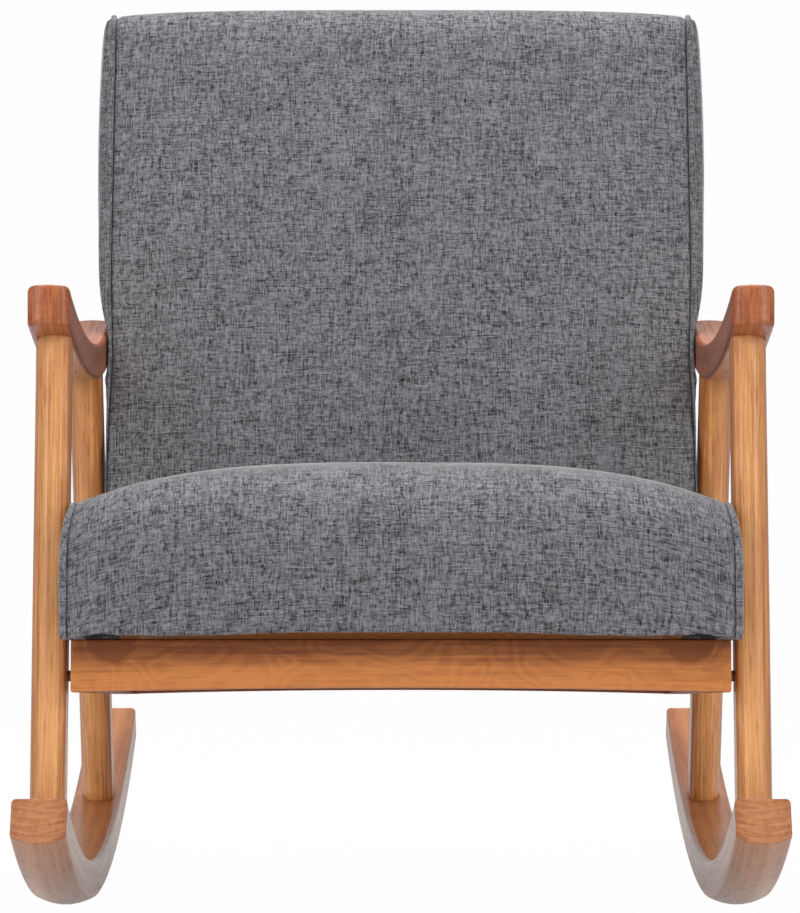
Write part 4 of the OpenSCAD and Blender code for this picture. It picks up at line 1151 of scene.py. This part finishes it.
def cushion(name, tilted, loop_at, half_at, half, soft, limits, cap, still, beyond, *nodes):
    """One cushion: its rings, put in place, kept clear of the wood and swelled by the simulation.

    still(rings) says which points the simulation leaves, besides the seams. beyond(rings)
    gives how far each point is past the hem, and how far inside the middle strip of painted shade.
    """
    c = cushions()
    rings, side_rows = cushion_rings(loop_at, half_at, across_columns(half, c.spacing), soft)
    points = tilted.world(rings[..., 0], rings[..., 1], rings[..., 2])
    uv = cushion_uv(rings, side_rows)
    points = pressed(points, limits(points))
    near = np.zeros((len(rings), 1), dtype=bool)
    near[side_rows - HELD_SIDE:side_rows + HELD_MAIN] = True
    pinned = still(rings) | near | near[::-1]
    points = pressed(puff(points, uv, pinned, c.pressure, cap), limits(points))
    hem = np.stack([*beyond(rings), seam_distance(rings, side_rows)], -1)
    piece = ring_mesh(name, points, uv, hem)
    smooth = piece.modifiers.new("smooth", "SUBSURF")
    smooth.levels = smooth.render_levels = 1
    finish_piece(piece, "sewn_linen", "cloth", *nodes)
    return piece


# Sizes of the seat's outline, in metres, and shares of its depth.
SEAT_LOW_REAR_R, SEAT_LOW_FRONT_R, SEAT_TOP_REAR_R = 0.012, 0.006, 0.030    # rounding of three of its corners
LOW_FRONT_IN = 0.004                        # how far its lower front corner stands behind the nose
NOSE_SET_BACK = 0.006                       # how far the nose stands back at its sides
LEVEL_FROM, LEVEL_UNDER = (0.003, 0.012), 0.010   # the underside turns level this far behind the nose
TOP_SWELL, TOP_FROM, TOP_FADE = 0.008, 0.08, (0.05, 0.3)    # the top's swell, its lowest height, where it starts
FRONT_BULGE, FRONT_END = 0.0025, 0.12       # bulge of the front face, and the depth where it ends
DRAW_HEIGHT = 0.055                         # height over which the seams draw in
STILL_LOW, STILL_REAR = 0.012, 0.05         # the simulation leaves this much low down and at the rear as it is
EDGE_LIFT, LIFT_SPAN = 0.0030, (0.090, 0.175)   # rise of the lower front edge, and where it fades out
PUCKER, PUCKER_AT, PUCKER_REACH = 0.0018, 0.269, 0.014      # a pucker's rise, place off the middle and width
CORNER_DROP, DROP_SPAN = 0.0044, (0.279, 0.294)     # fall of the edge at its corners, and where it comes
HEM_ABOVE, HEM_BEHIND = 0.0020, 0.0034      # the hem's place above the lower front edge and behind the nose
SHADE_STRIP_HALF, SHADE_STRIP_END = 0.252, -0.030       # the strip of painted shade past the hem: half its width, and its place behind the bolts


class CHAIR_OT_seat_cushion(bpy.types.Operator):
    """Boxed seat cushion with a rolled nose, a crowned top and a welt at each side"""

    bl_idname = "chair.seat_cushion"
    bl_label = "Seat cushion"

    def execute(self, context):
        c = cushions()
        seat, half = seat_frame(), c.seat_half
        face = back_frame().world(0.0, -(c.back_front + c.back_crown + c.neighbour_gap), np.array([0.0, 1.0]))
        at_s, at_h = seat.local(face[:, 1], face[:, 2])
        rear_slope = (at_s[1] - at_s[0]) / (at_h[1] - at_h[0])
        start_lower = c.seat_room
        edge_top = c.seat_low + c.seat_edge_h

        def rear(h):
            """The cushion ends at the back's front face, a leaning line."""
            return at_s[0] + rear_slope * (h - at_h[0])

        def lower_edge(x):
            """The cover's lower front edge: raised in the middle, puckered near its corners."""
            lift = EDGE_LIFT * (1 - smooth_step(x, *LIFT_SPAN))
            pucker = PUCKER * np.exp(-((x - PUCKER_AT) / PUCKER_REACH) ** 2)
            return lift + pucker - CORNER_DROP * smooth_step(x, *DROP_SPAN)

        def nose_at(share):
            """The nose is straight, and stands back only near the sides."""
            return -c.seat_nose + NOSE_SET_BACK * share ** 8

        def loop_at(share):
            """A four-cornered outline with its crown in the middle.

            The underside is level behind the front edge. The top swells between nose and back by
            half a sine wave, and the front face bulges by one. Both fade to the sides by a parabola.
            """
            share = abs(share)
            inside = 1 - share ** 2
            low = c.seat_low + lower_edge(share * half)
            top = edge_top + c.seat_crown * (1 - share ** c.crown_power)
            nose = nose_at(share)
            loop = even_loop([[rear(low), low], [nose + LOW_FRONT_IN, low], [nose, top], [rear(top), top]],
                             [SEAT_LOW_REAR_R, SEAT_LOW_FRONT_R, c.seat_nose_r, SEAT_TOP_REAR_R], c.seat_points)
            level = smooth_step(loop[:, 0], *(nose + at for at in LEVEL_FROM))
            loop[:, 1] += (c.seat_low - low) * (1 - smooth_step(loop[:, 1], low, low + LEVEL_UNDER)) * level
            deep = np.clip((loop[:, 0] - nose) / (rear(top) - nose), 0, 1)
            upper = smooth_step(loop[:, 1], c.seat_low + TOP_FROM, top)
            swell = TOP_SWELL * inside - start_lower * inside ** 2
            loop[:, 1] += swell * upper * arch(deep) * smooth_step(deep, *TOP_FADE)
            loop[:, 0] -= FRONT_BULGE * inside * arch((loop[:, 1] - low) / (top - low)) * (deep < FRONT_END)
            return loop

        def half_at(loop):
            """The seams draw in below the top, by a parabola."""
            return half - c.seat_draw * np.clip((loop[:, 1] - edge_top + DRAW_HEIGHT) / DRAW_HEIGHT, 0, 1) ** 2

        def still(rings):
            """The underside and what lies behind the back's face."""
            return (rings[..., 2] < c.seat_low + STILL_LOW) | (rings[..., 1] > rear(c.seat_low) - STILL_REAR)

        def beyond(rings):
            """Past the hem is behind the nose and below the lower edge; the strip of painted shade is in its
            middle.
            """
            across = np.abs(rings[..., 0])
            hem = c.seat_low + lower_edge(across) + HEM_ABOVE
            behind = rings[..., 1] - nose_at(np.clip(across / half, 0, 1)) - HEM_BEHIND
            inside = np.minimum(SHADE_STRIP_HALF - across, SHADE_STRIP_END - rings[..., 1])
            return np.minimum(behind, hem - rings[..., 2]), inside

        soft = {"groove": 0.40 * c.groove, "welt_r": c.welt_r, "swell": c.seat_swell,
                "reach": 0.012, "lift": 0.10}
        piece = cushion("dressed_seat_cushion", seat, loop_at, half_at, half, soft, beside_legs, c.seat_cap,
                        still, beyond, "seat_cover", "seat_foam", "seat_dust_cover")
        piece.data.materials.append(bpy.data.materials["seat_underside"])
        return {"FINISHED"}


# Sizes of the back's outline, in metres.
BACK_LOW_REAR_R, BACK_LOW_FRONT_R, BACK_TOP_REAR_R = 0.012, 0.020, 0.016    # rounding of three of its corners
CROWN_POWER, RISE_POWER = 2.4, 8            # shapes of the front's crown and of the upper edge
FRONT_SWELL, SWELL_FADE = 0.004, 0.03       # swell of the front, and the depth over which it grows
WAIST, WAIST_AT, WAIST_REACH = 0.0030, 0.150, 0.055     # a waist's depth, height and width
FREE_MORE, FREE_SPAN = 0.05, (0.500, 0.560)             # room that the sides gain between these heights
BACK_STILL = 0.05                           # the simulation leaves this much above the lower edge as it is


class CHAIR_OT_back_cushion(bpy.types.Operator):
    """Upholstered back: one panel over front, top and rear, welted to two swelling sides"""

    bl_idname = "chair.back_cushion"
    bl_label = "Back"

    def execute(self, context):
        c = cushions()
        low, rear = -c.back_below, c.back_rear

        def loop_at(share):
            """A four-cornered outline whose front face swells, by half a sine wave from its foot to its top."""
            x = abs(share)
            front = -(c.back_front + c.back_crown * (1 - x ** CROWN_POWER))
            top = c.back_above - c.back_top_rise * x ** RISE_POWER
            loop = even_loop([[rear, low], [front, low], [front, top], [rear, top]],
                             [BACK_LOW_REAR_R, BACK_LOW_FRONT_R, c.back_top_r, BACK_TOP_REAR_R], c.back_points)
            front_side = smooth_step(-loop[:, 0], 0.0, SWELL_FADE)
            loop[:, 0] -= front_side * FRONT_SWELL * arch((loop[:, 1] - low) / (top - low)) * (1 - x ** 2)
            return loop

        def half_at(loop):
            """A slight waist, a bell curve about its height above the lower bolts."""
            return c.back_half - WAIST * np.exp(-((loop[:, 1] - WAIST_AT) / WAIST_REACH) ** 2)

        def limits(p):
            """Below the armrests the cloth stays flat beside the rear legs."""
            flat = c.back_low_half + FREE_MORE * smooth_step(p[..., 2], *FREE_SPAN)
            return np.minimum(np.minimum(beside_legs(p), beside_arms(p)), flat)

        soft = {"groove": c.groove, "welt_r": c.welt_r, "swell": c.back_swell, "reach": 0.036, "lift": 1.0}
        cushion("dressed_back", back_frame(), loop_at, half_at, c.back_half, soft, limits, c.back_cap,
                lambda rings: rings[..., 2] < low + BACK_STILL,
                lambda rings: np.full((2, *rings.shape[:2]), -1.0),
                "back_cover", "back_foam", "back_rear_pad", "back_rear_cover")
        return {"FINISHED"}


class CHAIR_OT_rails(bpy.types.Operator):
    """Front and rear rails of the seat frame, with eased edges and an arched lower edge"""

    bl_idname = "chair.rails"
    bl_label = "Rails"

    def execute(self, context):
        s, c = sizes(), cushions()
        seat = seat_frame()
        middle = c.seat_low - s.rail_h / 2
        outline = rounded_bar_outline(s.rail_t / 2, s.rail_h / 2, [s.rail_ease] * 4)

        def rail(name, material, slot):
            low, high = np.array(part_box(name))
            half = high[0]
            along, _ = seat.local(*((low + high) / 2)[1:])

            def place(across, up, run):
                """The arch lifts the lower edge by a parabola; the upper one stays level."""
                height = middle + up
                lift = s.rail_arch * (1 - (run / half) ** 2) * (c.seat_low - height) / s.rail_h
                return seat.world(run, along + across, height + lift)

            piece = bar("dressed_" + name, outline, place, square_end(-half), square_end(half), s.rail_ease,
                        rows=60)
            finish_piece(piece, material, slot, name)

        rail("front_rail", "rail_lacquer", "arm_wood")
        rail("rear_rail", "raw_rail", "frame_wood")
        return {"FINISHED"}


class CHAIR_PT_panel(bpy.types.Panel):
    """Lists the sizes, the colours and the building steps"""

    bl_label = "Rocking Chair"
    bl_idname = "CHAIR_PT_panel"
    bl_space_type = "VIEW_3D"
    bl_region_type = "UI"
    bl_category = "Rocking Chair"

    def draw(self, context):
        for pointer in GROUPS:
            group, box = getattr(context.scene, pointer), self.layout.box()
            for key in group.bl_rna.properties.keys():
                if key not in ("rna_type", "name"):
                    box.prop(group, key)
        for step in STEPS:
            self.layout.operator(step.bl_idname)


GROUPS = {"chair_frame": FrameSizes, "chair_cushions": CushionSizes, "chair_studio": StudioSizes,
          "chair_colours": Colours}
STEPS = (CHAIR_OT_studio, CHAIR_OT_finishes, CHAIR_OT_rockers, CHAIR_OT_legs, CHAIR_OT_armrests, CHAIR_OT_rails,
         CHAIR_OT_seat_cushion, CHAIR_OT_back_cushion)
CLASSES = (*GROUPS.values(), *STEPS, CHAIR_PT_panel)


def register():
    for cls in CLASSES:
        bpy.utils.register_class(cls)
    for pointer, group in GROUPS.items():
        setattr(bpy.types.Scene, pointer, PointerProperty(type=group))


def unregister():
    for pointer in GROUPS:
        delattr(bpy.types.Scene, pointer)
    for cls in reversed(CLASSES):
        bpy.utils.unregister_class(cls)


def main():
    """Registers the classes and builds the chair step by step."""
    register()
    bpy.ops.chair.studio()
    bpy.ops.chair.finishes()
    bpy.ops.chair.rockers()
    bpy.ops.chair.legs()
    bpy.ops.chair.armrests()
    bpy.ops.chair.rails()
    bpy.ops.chair.seat_cushion()
    bpy.ops.chair.back_cushion()
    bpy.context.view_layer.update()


if __name__ == "__main__":
    main()
